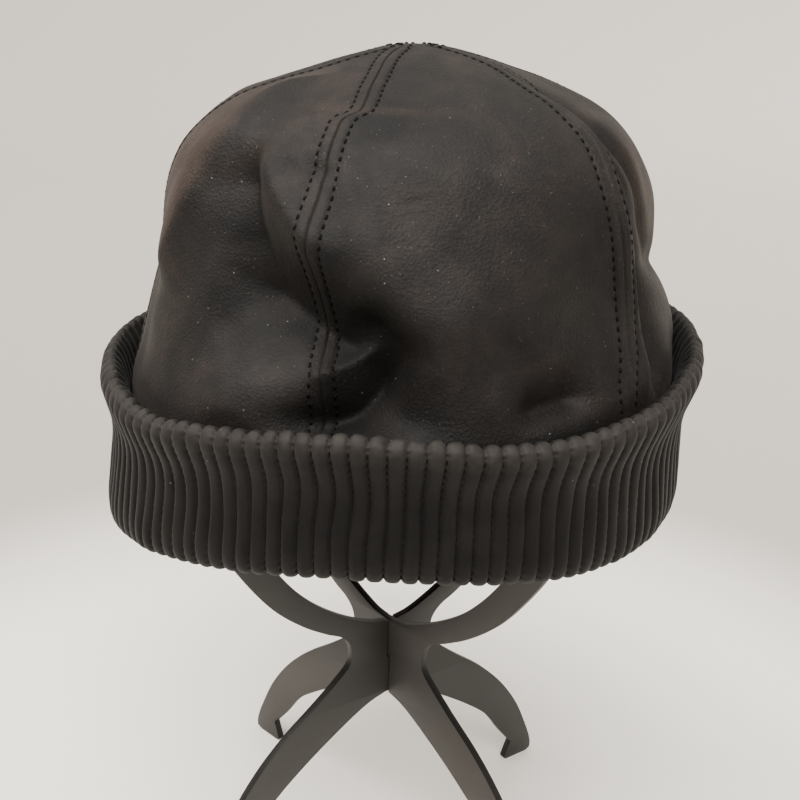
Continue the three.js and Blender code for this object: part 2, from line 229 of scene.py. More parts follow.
class Board(Nodes):
    """A new material, and short forms of the nodes that the finishes share."""

    def __init__(self, name: str) -> None:
        """Start an empty material with an output and the object's coordinates.

        Args:
            name: The material's name.
        """
        self.material = bpy.data.materials.new(name)
        self.material.use_nodes = True
        self.tree = self.material.node_tree
        self.tree.nodes.clear()
        self.output = self.tree.nodes.new("ShaderNodeOutputMaterial")
        self.place = self.add("ShaderNodeTexCoord", {}).outputs["Object"]

    def noise(self, size: float, detail: float, **inputs: float) -> Socket:
        """Noise whose features are about size metres wide."""
        links = {"Vector": self.place, "Scale": 1 / size, "Detail": detail, **inputs}
        return self.add("ShaderNodeTexNoise", links).outputs["Fac"]

    def cells(self, apart: float) -> bpy.types.Node:
        """Scattered cells that lie about apart metres from each other."""
        return self.add("ShaderNodeTexVoronoi", {"Vector": self.place, "Scale": 1 / apart, "Randomness": 1.0})

    def math(self, kind: str, *values: Socket | float) -> Socket:
        """One Math node on its inputs in order."""
        return self.add("ShaderNodeMath", dict(enumerate(values)), operation=kind).outputs[0]

    def mark(self, name: str) -> Socket:
        """A number that the mesh carries at each of its points."""
        return self.add("ShaderNodeAttribute", {}, attribute_name=name).outputs["Fac"]

    def mix(self, share: Socket | float, first: Socket, second: object, blend: str = "MIX") -> Socket:
        """Mix a second colour into the first one."""
        links = {"Factor": share, 6: first, 7: second}
        return self.add("ShaderNodeMix", links, data_type="RGBA", blend_type=blend).outputs[2]

    def bump(self, height: Socket, depth: float, strength: float = 1.0) -> Socket:
        """Fine relief, depth metres deep."""
        links = {"Height": height, "Distance": depth, "Strength": strength}
        return self.add("ShaderNodeBump", links).outputs["Normal"]

    def rescale(self, value: Socket, low: float, high: float, new_low: float, new_high: float) -> Socket:
        """Map the span from low to high onto another one, and hold what lies beyond."""
        links = {"Value": value, "From Min": low, "From Max": high, "To Min": new_low, "To Max": new_high}
        return self.add("ShaderNodeMapRange", links).outputs[0]

    def ramp(self, value: Socket, *stops: tuple[float, str]) -> Socket:
        """Map a value to colours.

        Args:
            value: The socket to map.
            stops: Places from 0 to 1 with their sRGB hex colours.

        Returns:
            The colour socket.
        """
        node = self.add("ShaderNodeValToRGB", {"Fac": value})
        while len(node.color_ramp.elements) < len(stops):
            node.color_ramp.elements.new(0.5)
        for element, (place, colour) in zip(node.color_ramp.elements, stops):
            element.position = place
            element.color = linear(colour)
        return node.outputs["Color"]

    def specks(self, under: Socket, colour: str, dust: Specks) -> Socket:
        """Scatter specks over a colour.

        Args:
            under: What they lie on.
            colour: Their sRGB hex colour.
            dust: Their sizes and number.

        Returns:
            The colour with the specks.
        """
        cells = self.cells(dust.apart)
        near = self.math("LESS_THAN", cells.outputs["Distance"], dust.size / dust.apart)
        chosen = self.math("GREATER_THAN", cells.outputs["Color"], 1 - dust.share)
        shown = self.math("MULTIPLY", self.math("MULTIPLY", near, chosen), dust.strength)
        return self.mix(shown, under, linear(colour))

    def close(self, inputs: dict[str | int, object]) -> bpy.types.Material:
        """Link a Principled shader to the output.

        Args:
            inputs: Its input names with the sockets that feed them or their values.

        Returns:
            The material.
        """
        shader = self.add("ShaderNodeBsdfPrincipled", inputs)
        self.tree.links.new(shader.outputs[0], self.output.inputs["Surface"])
        return self.material


# Nubuck is sanded cowhide. Its short nap scatters the light, so the eye sees a matte, soft black
# with pale specks, and brown where the dye has come off. Its colour also holds painted shade in the
# creases' hollows, painted light and shade in a few patches, and a painted sheen behind the side ridges.
@dataclass(frozen=True)
class OiledNubuck:
    """Buffed, oiled black cowhide: matte, fine nap, pale powdery specks, brown high spots, painted shading.
    """

    name: str = "oiled_nubuck_black"
    body: str = "1a1817"
    shade: str = "121212"
    bloom: str = "25201e"
    # Brown of the scuffed dye, also used for the painted sheen on the bands behind the side ridges.
    worn_and_sheen_colour: str = "3e312a"
    speck: str = "b5aea6"
    nap_tint: str = "cfc6bd"
    roughness: float = 0.63
    specular: float = 0.17
    sheen: float = 0.05
    sheen_roughness: float = 0.4
    # How the mark of painted shade and painted light scales the hide's colour.
    painted_shading_film: tuple[float, float] = (0.75, 0.3)
    grain: float = 0.9 * MM
    fleck: float = 0.55 * MM
    wear_and_sheen_patch: float = 3.5 * MM
    mottle: float = 22 * MM
    grain_depth: float = 0.16 * MM
    dust: tuple[Specks, ...] = (
        Specks(1.7 * MM, 0.15 * MM, 0.4, 0.2),
        Specks(4.5 * MM, 0.2 * MM, 0.45, 0.4),
    )

    def build(self) -> bpy.types.Material:
        """Build the leather.

        Returns:
            The material.
        """
        board = Board(self.name)
        mottle = board.noise(self.mottle, 5.0, Roughness=0.62, Distortion=0.4)
        hide = board.ramp(mottle, (0.34, self.shade), (0.52, self.body), (0.7, self.bloom))
        # Painted shading: the mark darkens the hide as painted shade in the creases' hollows and in the gap
        # behind the right ridge, and lightens or darkens a few patches as painted light and shade.
        painted_shading_film = board.math("MULTIPLY_ADD", board.mark("dust"), *self.painted_shading_film)
        hide = board.mix(1.0, hide, painted_shading_film, "MULTIPLY")
        # The mark browns the seams' ridges and an old crease; on the bands behind the side ridges it lays
        # partly brown scuffing and partly a painted sheen.
        patch = board.noise(self.wear_and_sheen_patch, 4.0, Roughness=0.7)
        wear_and_sheen_here = board.math("MULTIPLY", board.mark("wear"), patch)
        browned_and_sheened = board.mix(wear_and_sheen_here, hide, linear(self.worn_and_sheen_colour))
        fleck = board.rescale(board.noise(self.fleck, 3.0, Roughness=0.7), 0.3, 0.72, 0.62, 1.5)
        colour = board.mix(1.0, browned_and_sheened, fleck, "MULTIPLY")
        for dust in self.dust:
            colour = board.specks(colour, self.speck, dust)
        pores = board.cells(self.grain).outputs["Distance"]
        nap = board.noise(0.6 * self.grain, 6.0, Roughness=0.72)
        gloss = board.rescale(mottle, 0.3, 0.7, self.roughness + 0.06, self.roughness - 0.08)
        return board.close({
            "Base Color": colour,
            "Roughness": gloss,
            "Normal": board.bump(board.math("ADD", pores, nap), self.grain_depth, 0.9),
            "Specular IOR Level": self.specular,
            "Sheen Weight": self.sheen,
            "Sheen Roughness": self.sheen_roughness,
            "Sheen Tint": linear(self.nap_tint),
        })


# The cuff's leather is stretched over cord and chafed by every hand that turns it down, so the eye
# sees a deeper black than the crown's, with a soft shine along each rib and a greyer rim, partly
# chafed and partly painted light on the rim's top.
@dataclass(frozen=True)
class PolishedRibLeather:
    """Thinner black leather stretched over cord filling: smoother, with a soft shine on each rib."""

    name: str = "rib_leather_black"
    body: str = "131211"
    shade: str = "0e0d0d"
    bloom: str = "191817"
    # Grey of the rim's top: partly chafing, partly painted light.
    rubbed: str = "322f2d"
    speck: str = "a8a29b"
    roughness: float = 0.62
    specular: float = 0.13
    sheen: float = 0.04
    sheen_roughness: float = 0.4
    grain: float = 0.8 * MM
    rubbed_and_lit_patch: float = 4 * MM
    mottle: float = 14 * MM
    grain_depth: float = 0.07 * MM
    dust: Specks = Specks(8 * MM, 0.22 * MM, 1.0, 0.4)

    def build(self) -> bpy.types.Material:
        """Build the leather.

        Returns:
            The material.
        """
        board = Board(self.name)
        mottle = board.noise(self.mottle, 5.0, Roughness=0.6)
        hide = board.ramp(mottle, (0.34, self.shade), (0.52, self.body), (0.7, self.bloom))
        patch = board.noise(self.rubbed_and_lit_patch, 4.0, Roughness=0.6)
        # The rim's top is painted greyer: partly chafing, partly painted light where light falls on it.
        hide = board.mix(board.math("MULTIPLY", board.mark("rubbed"), patch), hide, linear(self.rubbed))
        nap = board.noise(self.grain, 6.0, Roughness=0.7)
        return board.close({
            "Base Color": board.specks(hide, self.speck, self.dust),
            "Roughness": self.roughness,
            "Normal": board.bump(nap, self.grain_depth, 0.9),
            "Specular IOR Level": self.specular,
            "Sheen Weight": self.sheen,
            "Sheen Roughness": self.sheen_roughness,
        })


# Wax keeps the thread's fibres together and takes its fluff away, so the eye sees small black
# dashes without a glint.
@dataclass(frozen=True)
class SewingThread:
    """Waxed black polyester thread: nearly black, and it lies in its own shadow."""

    name: str = "waxed_thread_black"
    body: str = "0a0909"
    shade: str = "050505"
    roughness: float = 0.6
    twist: float = 0.35 * MM
    twist_depth: float = 0.05 * MM

    def build(self) -> bpy.types.Material:
        """Build the thread.

        Returns:
            The material.
        """
        board = Board(self.name)
        strands = board.noise(self.twist, 2.0)
        return board.close({
            "Base Color": board.ramp(strands, (0.3, self.shade), (0.7, self.body)),
            "Roughness": self.roughness,
            "Normal": board.bump(strands, self.twist_depth),
            "Specular IOR Level": 0.1,
        })


# ABS from a spark-eroded mould has a faint even texture, so the eye sees a flat dark grey that
# turns a little lighter towards the light and shows no clear reflection.
@dataclass(frozen=True)
class StandPlastic:
    """The flat faces of one plate: moulded matte ABS, faintly clouded, in that plate's grey, darker on the
    left plate as painted shade.
    """

    name: str
    face: str
    dark: str
    roughness: float = 0.55
    cloud: float = 30 * MM
    texture: float = 0.5 * MM
    texture_depth: float = 0.03 * MM

    def build(self) -> bpy.types.Material:
        """Build the plastic.

        Returns:
            The material.
        """
        board = Board(self.name)
        cloud = board.noise(self.cloud, 4.0, Roughness=0.6)
        return board.close({
            "Base Color": board.ramp(cloud, (0.35, self.dark), (0.65, self.face)),
            "Roughness": self.roughness,
            "Normal": board.bump(board.noise(self.texture, 3.0), self.texture_depth, 0.8),
            "IOR": ABS_IOR,
            "Specular IOR Level": 0.35,
        })


# The mould closes along the edge and leaves it smooth, so the eye sees a thin line that is darker
# than the face and takes a slight glint.
@dataclass(frozen=True)
class StandEdge:
    """The narrow moulded edge of the plates: the same ABS, smoother and darker."""

    name: str = "moulded_abs_edge"
    body: str = "171616"
    shade: str = "0d0d0c"
    roughness: float = 0.5
    cloud: float = 9 * MM

    def build(self) -> bpy.types.Material:
        """Build the edge.

        Returns:
            The material.
        """
        board = Board(self.name)
        return board.close({
            "Base Color": board.ramp(board.noise(self.cloud, 4.0), (0.3, self.shade), (0.7, self.body)),
            "Roughness": self.roughness,
            "IOR": ABS_IOR,
            "Specular IOR Level": 0.25,
        })


# Backdrop paper is uncoated, so the eye sees an even, pale surface that takes soft shadows and
# gives no reflection of the object.
@dataclass(frozen=True)
class StudioPaper:
    """Plain matte backdrop paper, off-white, and whiter where the object stands."""

    name: str = "backdrop_paper"
    near: str = "f6f3ed"
    far: str = "a9a5a0"
    near_reach: float = 0.2
    far_reach: float = 0.38
    roughness: float = 0.9
    fibre: float = 1 / 260
    fibre_depth: float = 0.05 * MM

    def build(self) -> bpy.types.Material:
        """Build the paper.

        Returns:
            The material.
        """
        board = Board(self.name)
        away = board.add("ShaderNodeVectorMath", {0: board.place}, operation="LENGTH").outputs["Value"]
        share = board.add(
            "ShaderNodeMapRange",
            {"Value": away, "From Min": self.near_reach, "From Max": self.far_reach},
            interpolation_type="SMOOTHSTEP",
        ).outputs[0]
        return board.close({
            "Base Color": board.ramp(share, (0.0, self.near), (1.0, self.far)),
            "Roughness": self.roughness,
            "Normal": board.bump(board.noise(self.fibre, 3.0), self.fibre_depth),
            "Specular IOR Level": 0.2,
        })


# Meshes


def linked(name: str, data: bpy.types.ID) -> bpy.types.Object:
    """Put a new object into the scene, at the origin.

    Args:
        name: The object's name.
        data: Its mesh, curve, light or camera.

    Returns:
        The object.
    """
    made = bpy.data.objects.new(name, data)
    bpy.context.scene.collection.objects.link(made)
    return made


def mesh_object(name: str, points: np.ndarray, faces: Iterable[tuple[int, ...]]) -> bpy.types.Object:
    """Make a mesh object at the origin.

    Args:
        name: The object's name.
        points: Places in metres, one a row.
        faces: Corner numbers of each face.

    Returns:
        The linked object, shaded smooth.
    """
    mesh = bpy.data.meshes.new(name)
    mesh.from_pydata(np.asarray(points, dtype=float).tolist(), [], [list(map(int, f)) for f in faces])
    mesh.validate()
    mesh.shade_smooth()
    return linked(name, mesh)


def mark(mesh: bpy.types.Mesh, name: str, values: np.ndarray) -> None:
    """Write an attribute on a mesh's points.

    Args:
        mesh: The mesh.
        name: The attribute's name.
        values: A number or a vector for each point.
    """
    kind, column = ("FLOAT", "value") if values.ndim == 1 else ("FLOAT_VECTOR", "vector")
    attribute = mesh.attributes.new(name, kind, "POINT")
    attribute.data.foreach_set(column, values.astype(float).ravel())


def grid_faces(rows: int, columns: int, closed: bool) -> list[tuple[int, int, int, int]]:
    """Faces of a grid of points laid out row by row.

    Args:
        rows: Rows of points.
        columns: Points in a row.
        closed: Whether the last row joins the first.

    Returns:
        Four corners for each face, facing out where columns turn left and rows go up.
    """
    faces = []
    for i in range(rows if closed else rows - 1):
        low, high = i * columns, ((i + 1) % rows) * columns
        for j in range(columns - 1):
            faces.append((low + j, low + j + 1, high + j + 1, high + j))
    return faces


def plain_mesh(source: bpy.types.Object, name: str) -> bpy.types.Object:
    """Turn an object with live modifiers into a plain mesh object and delete it.

    Args:
        source: The object with its modifiers.
        name: Name for the result.

    Returns:
        The new object at the origin.
    """
    depsgraph = bpy.context.evaluated_depsgraph_get()
    mesh = bpy.data.meshes.new_from_object(source.evaluated_get(depsgraph), depsgraph=depsgraph)
    mesh.name = name
    bpy.data.objects.remove(source)
    return linked(name, mesh)


class Tree(Nodes):
    """A geometry node tree with named inputs."""

    def __init__(self, name: str, **inputs: str) -> None:
        """Start a tree that takes and gives geometry.

        Args:
            name: The tree's name.
            inputs: The kind of each further input, such as Object or Float.
        """
        self.tree = bpy.data.node_groups.new(name, "GeometryNodeTree")
        faces = self.tree.interface
        for way in ("OUTPUT", "INPUT"):
            faces.new_socket("Geometry", in_out=way, socket_type="NodeSocketGeometry")
        self.names = {
            title: faces.new_socket(title, in_out="INPUT", socket_type="NodeSocket" + kind).identifier
            for title, kind in inputs.items()
        }
        self.given = self.tree.nodes.new("NodeGroupInput").outputs

    def end(self, geometry: Socket) -> None:
        """Realize the instances, set the material and close the tree.

        Args:
            geometry: What the tree has made.
        """
        real = self.add("GeometryNodeRealizeInstances", {"Geometry": geometry}).outputs["Geometry"]
        dressed = self.add(
            "GeometryNodeSetMaterial", {"Geometry": real, "Material": self.given["Material"]}
        )
        out = self.tree.nodes.new("NodeGroupOutput")
        self.tree.links.new(dressed.outputs["Geometry"], out.inputs["Geometry"])

    def run(self, host: bpy.types.Object, name: str, **values: object) -> bpy.types.Object:
        """Run the tree on a host object and keep the result as a plain mesh.

        Args:
            host: The object whose mesh feeds the tree.
            name: Name of the result.
            values: A value for each named input.

        Returns:
            The result.
        """
        modifier = host.modifiers.new("nodes", "NODES")
        modifier.node_group = self.tree
        for key, value in values.items():
            modifier[self.names[key]] = value
        return plain_mesh(host, name)


def ride(piece: bpy.types.Object) -> bpy.types.Object:
    """Fasten a piece to the body and log its number of faces.

    Args:
        piece: The finished piece.

    Returns:
        The piece.
    """
    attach(piece, BODY)
    log.info("%s: %d faces", piece.name, len(piece.data.polygons))
    return piece


# Stitches


def stitch_mesh(name: str, length: float, width: float, sides: int = 6) -> bpy.types.Object:
    """One stitch along X: a short length of thread that dips into the leather at both ends.

    Args:
        name: The object's name.
        length: Length in metres.
        width: Thread thickness in metres.
        sides: Points around the thread.

    Returns:
        The stitch, with up along Z.
    """
    stations = np.array([-0.5, -0.36, 0.0, 0.36, 0.5])
    heights = np.array([-0.9, 0.0, 0.15, 0.0, -0.9]) * width
    thick = np.array([0.5, 1.0, 1.0, 1.0, 0.5]) * width / 2
    angles = np.linspace(0, 2 * math.pi, sides, endpoint=False)
    rings = []
    for along, height, radius in zip(stations * length, heights, thick):
        round_y, round_z = radius * np.cos(angles), height + radius * np.sin(angles)
        rings.append(np.stack([np.full(sides, along), round_y, round_z], axis=1))
    faces = [
        (i * sides + j, i * sides + (j + 1) % sides, (i + 1) * sides + (j + 1) % sides, (i + 1) * sides + j)
        for i in range(len(rings) - 1)
        for j in range(sides)
    ]
    faces.append(tuple(reversed(range(sides))))
    faces.append(tuple((len(rings) - 1) * sides + j for j in range(sides)))
    return mesh_object(name, np.vstack(rings), [tuple(reversed(f)) for f in faces])


def stitch_tree() -> Tree:
    """Tree that lays one stitch on each point of its host, turned by the point's attributes.

    Returns:
        The tree, with the inputs Stitch, Uneven, Seed and Material.
    """
    tree = Tree("stitches_on_points", Stitch="Object", Uneven="Float", Seed="Int", Material="Material")
    run, out = (
        tree.add(
            "GeometryNodeInputNamedAttribute", {"Name": name}, data_type="FLOAT_VECTOR"
        ).outputs["Attribute"]
        for name in ("run", "out")
    )
    upright = tree.add("FunctionNodeAlignRotationToVector", {"Vector": out}, axis="Z").outputs["Rotation"]
    turned = tree.add(
        "FunctionNodeAlignRotationToVector", {"Rotation": upright, "Vector": run}, axis="X", pivot_axis="Z"
    )
    sizes = {"Seed": tree.given["Seed"]}
    for end, operation in (("Min", "SUBTRACT"), ("Max", "ADD")):
        width = tree.add("ShaderNodeMath", {0: 1.0, 1: tree.given["Uneven"]}, operation=operation).outputs[0]
        sizes[end] = tree.add("ShaderNodeCombineXYZ", {0: width, 1: width, 2: 1.0}).outputs[0]
    size = tree.add("FunctionNodeRandomValue", sizes, data_type="FLOAT_VECTOR")
    stitch = tree.add("GeometryNodeObjectInfo", {"Object": tree.given["Stitch"]}).outputs["Geometry"]
    points = tree.add("GeometryNodeMeshToPoints", {"Mesh": tree.given["Geometry"]}).outputs["Points"]
    laid = tree.add(
        "GeometryNodeInstanceOnPoints",
        {
            "Points": points,
            "Instance": stitch,
            "Rotation": turned.outputs["Rotation"],
            "Scale": size.outputs["Value"],
        },
    )
    tree.end(laid.outputs["Instances"])
    return tree


class Row(NamedTuple):
    """A row of stitches: where each lies, which way it runs and which way is out."""

    places: np.ndarray
    runs: np.ndarray
    outs: np.ndarray


def sew(tree: Tree, rows: list[Row], name: str, stitch: bpy.types.Object, material: bpy.types.Material,
        seed: int) -> bpy.types.Object:
    """Lay stitches along rows with the stitch tree.

    Args:
        tree: The stitch tree.
        rows: The rows.
        name: Name of the sewn piece.
        stitch: One stitch, which is removed afterwards.
        material: The thread.
        seed: For the small differences between stitches.

    Returns:
        All stitches as one mesh.
    """
    places = np.vstack([row.places for row in rows])
    host = mesh_object(name + "_places", places, [])
    mark(host.data, "run", np.vstack([row.runs for row in rows]))
    mark(host.data, "out", np.vstack([row.outs for row in rows]))
    sewn = tree.run(host, name, Stitch=stitch, Uneven=0.1, Seed=seed, Material=material)
    sewn.data.shade_smooth()
    bpy.data.objects.remove(stitch)
    return sewn


# The crown


class Fold(NamedTuple):
    """A ridge (out is positive) or dent in the crown.

    Sizes are millimetres and angles degrees. length and the two widths are its reach along its run
    and to either side of it. turn is the run's angle from upright, positive when its top leans to
    the right, and bend curves the run, in millimetres sideways at one length.
    """

    name: str
    azimuth: float
    height: float
    out: float
    length: float
    left: float
    right: float
    turn: float
    bend: float = 0.0


class ProfileRow(NamedTuple):
    """Radius of the crown at a height, before the folds, in millimetres."""

    height: float
    radius: float


class SeamRow(NamedTuple):
    """Azimuth of a seam or a ridge at a height."""

    height: float
    azimuth: float


CROWN_PROFILE = table(
    ProfileRow,
    (308.5, 0.0), (307.3, 10.0), (305.5, 18.0), (303.0, 27.0), (300.0, 36.0), (296.5, 46.0),
    (292.5, 55.5), (288.0, 63.0), (283.0, 69.0), (277.0, 74.0), (270.0, 77.5), (262.0, 80.0),
    (252.0, 82.0), (240.0, 84.0), (230.0, 86.5), (221.0, 89.0), (212.0, 92.0), (204.0, 94.4),
    (196.0, 95.0), (180.0, 95.0), (165.0, 95.0),
)

FOLDS = table(
    Fold,
    ("front left arm ridge", -59, 243, 3.6, 22, 11, 10, -6),
    ("front right arm ridge", 54, 240, 1.5, 34, 9, 7, 0),
    ("right lobe", 92, 256, 2.4, 15, 13, 15, 0),
    ("foot of the right lobe", 93, 217, 3.4, 9, 13, 15, 0),
    ("left side over the seam", -84, 262, 1.6, 16, 14, 14, 0),
    ("back right arm ridge", 127, 245, 3, 30, 9, 9, 0),
    ("back sag", 175, 240, -5, 24, 22, 22, 0),
    ("back left arm ridge", -134, 245, 3, 30, 9, 9, 0),
    ("swelling beside the front seam", -15.2, 258.3, 4.2, 6.3, 7.8, 6.2, 0),
    ("lower left swelling", -31.8, 219.7, 5.0, 15.9, 10.0, 11.8, 0),
    ("soft fold at the right", 22.5, 240.5, 5.0, 23.5, 14.4, 9.9, 58),
)


class PaintedShadingPatch(NamedTuple):
    """A patch painted lighter for light when lift is above 0 and darker for shade when it is below: its reach
    in degrees and millimetres.
    """

    name: str
    azimuth: float
    height: float
    wide: float
    tall: float
    lift: float


# Painted light on the lower left panel and the middle of the left panel; painted shade above the rim at the
# right.
PAINTED_SHADING_PATCHES = table(
    PaintedShadingPatch,
    ("lower left panel", -27, 226, 12, 14, 0.6),
    ("middle of the left panel", -38, 247, 9, 10, 0.3),
    ("rim at the right", 36, 203, 14, 9, -0.55),
)

# The left ridge's line; beyond it a band is painted brown and with a painted sheen.
LEFT_RIDGE = table(SeamRow, (240, -60), (252, -57), (264, -52.5), (276, -50), (292, -47.5))


class GapRow(NamedTuple):
    """Middle and reach, in degrees, of the painted shade in the gap behind the right ridge at a height."""

    height: float
    middle: float
    reach: float


# Where the painted shade lies in the gap behind the right ridge.
RIGHT_GAP = table(GapRow, (205, 80, 16), (218, 79, 14), (232, 68, 7), (250, 60.5, 4.5), (280, 60, 4.5))


class Crease(NamedTuple):
    """A sharp fold along a run from one place to another, each an azimuth and a height.

    left and right are its reach in millimetres to either side of a walk from start to end, bow
    curves the run to the right, and sharp is 2 for a round bottom and less for a keener one.
    """

    name: str
    start: tuple[float, float]
    end: tuple[float, float]
    out: float
    left: float
    right: float
    bow: float = 0.0
    sharp: float = 1.5


CREASES = table(
    Crease,
    ("upper trough", (-41.5, 281.4), (-32.3, 250.3), -7.2, 6.7, 14.0, 1.0, 1.6),
    ("dent across the seam", (-39.4, 246.5), (-4.7, 225.9), -14.8, 12.8, 10.2, -1.1, 1.6),
    ("wing of the dent", (-8.5, 240.5), (4.8, 226.5), -5.7, 3.5, 8.4, -1.2, 1.5),
    ("lip under the dent", (-17.5, 221.8), (-5.4, 230.2), 4.6, 3.0, 4.3, 0.4, 1.4),
    ("fold down to the rim", (0.6, 228.7), (-21.7, 203.0), -15.0, 15.0, 9.4, -4.8, 1.5),
    ("roll over the dent", (-15.0, 253.8), (15.8, 233.7), 5.0, 17.8, 13.0, -0.2, 1.8),
    ("slope under the dent", (-42.9, 232.9), (-20.0, 222.4), -3.8, 8.0, 10.6, 0.9, 1.8),
    ("facet beside the trough", (-38.0, 282.0), (-15.1, 253.0), 5.0, 7.3, 5.2, 0.0, 1.8),
    ("valley at the right", (38.0, 211.9), (21.2, 208.4), -6.2, 6.4, 9.9, 1.0, 1.6),
    ("soft rise over the valley", (35.8, 230.3), (14.1, 211.8), 1.1, 8.3, 8.3, -0.8, 1.8),
    ("pinch beside the seam", (-28, 280.5), (-17, 276.5), -1.3, 2.6, 2.6, 0.0, 1.6),
    ("fine wrinkle", (-3, 270.3), (4.5, 271.8), -0.3, 0.8, 0.8, 0.5, 1.6),
    ("old crease over the front", (-34, 293), (8, 293), -0.3, 1.2, 1.2, 0.0, 1.6),
    ("right ridge", (53.5, 291), (52.0, 246), 1.6, 1.8, 6, 1.0, 1.3),
    ("foot of the right ridge", (54.0, 256), (55.0, 200), 2.2, 2.0, 8, -0.6, 1.3),
    ("valley behind the right ridge", (56.5, 297), (57.5, 242), -4.5, 7, 2.0, 1.0, 1.3),
    ("line across the right valley", (62, 288), (72, 246), -2.8, 3.0, 4.5, 0.0, 1.4),
    ("gap behind the right ridge", (60.0, 258), (61.0, 198), -8.5, 8, 2.4, -0.6, 1.4),
    ("fold under the right lobe", (70, 243), (100, 233), -2.2, 5, 6, 0.0, 1.6),
    ("left ridge", (-47.5, 301), (-54.0, 264), 5.0, 5.5, 16, 0.0, 1.2),
    ("foot of the left ridge", (-53.0, 270), (-62.5, 240), 3.0, 7, 11, 0.0, 1.2),
)

SEAMS: dict[str, tuple[SeamRow, ...]] = {
    "front": table(
        SeamRow,
        (308, -34), (303, -22), (298, -18), (293.5, -16.3), (291, -20), (287, -20), (270, -18.8),
        (248, -18.8), (236, -18), (226, -16.6), (216, -15.6), (165, -15.6),
    ),
    "front_right": table(
        SeamRow,
        (308, 80), (303, 68), (298, 56), (292, 51.5), (284, 50.5), (272, 48.5), (262, 48.5), (240, 51),
        (221, 50.2), (206, 48.2), (165, 48.2),
    ),
    "back_right": table(SeamRow, (308, 110.8)),
    "back": table(SeamRow, (308, 169.6)),
    "back_left": table(SeamRow, (308, 228.4), (292, 227), (272, 224), (165, 224)),
    "front_left": table(
        SeamRow,
        (308, 287.2), (294, 286), (284, 277), (262, 275), (165, 275),
    ),
}

GORES = {
    "crown_panel_front": ("front", "front_right"),
    "crown_panel_front_right": ("front_right", "back_right"),
    "crown_panel_back_right": ("back_right", "back"),
    "crown_panel_back": ("back", "back_left"),
    "crown_panel_back_left": ("back_left", "front_left"),
    "crown_panel_front_left": ("front_left", "front"),
}


class CuffWave(NamedTuple):
    """How much higher the rim and the lower edge lie at an azimuth, and the edge further out."""

    azimuth: float
    rim: float
    edge: float
    edge_out: float


CUFF_WAVES = table(
    CuffWave,
    (-180, 0, -3, 0), (-110, 2, -11, 2), (-78, 0.5, -12, 3), (-52, -4, -7.5, 1), (-38, -2, -4.5, 0),
    (-14, 1.6, 0.5, 0), (0, 0.8, 0.3, 0), (20, -3.6, -3.7, 0), (45, -4, -8.8, 0), (75, 0.5, -10.5, -1),
    (110, 3, -9, -1), (180, 0, -3, 0),
)


def cuff_wave(column: str, azimuth: np.ndarray) -> np.ndarray:
    """One column of the cuff's unevenness, smoothly between the table's rows.

    Args:
        column: rim, edge or edge_out.
        azimuth: Where to read it, in degrees.

    Returns:
        Millimetres at each azimuth.
    """
    stops = np.array([[row.azimuth, getattr(row, column)] for row in CUFF_WAVES])
    fine = smooth_curve(stops, 12)
    return np.interp(turn_between(azimuth, 0.0), fine[:, 0], fine[:, 1])


@dataclass
class CapLean:
    """The cap leans on its stand: its right side is higher, and the lean halves towards the top."""

    rise: float = 0.057
    rim_height: float = 208.7
    top: float = 300.0
    top_share: float = 0.5

    def at(self, x: np.ndarray, height: np.ndarray) -> np.ndarray:
        """Rise of the cap at a place.

        Args:
            x: Sideways place in millimetres.
            height: Height in millimetres.

        Returns:
            Millimetres to add to the height.
        """
        fade = np.clip((self.top - height) / (self.top - self.rim_height), 0.0, 1.0) - self.top_share
        return self.rise * x * (self.top_share + (fade + np.sqrt(fade**2 + 0.01)) / 2)


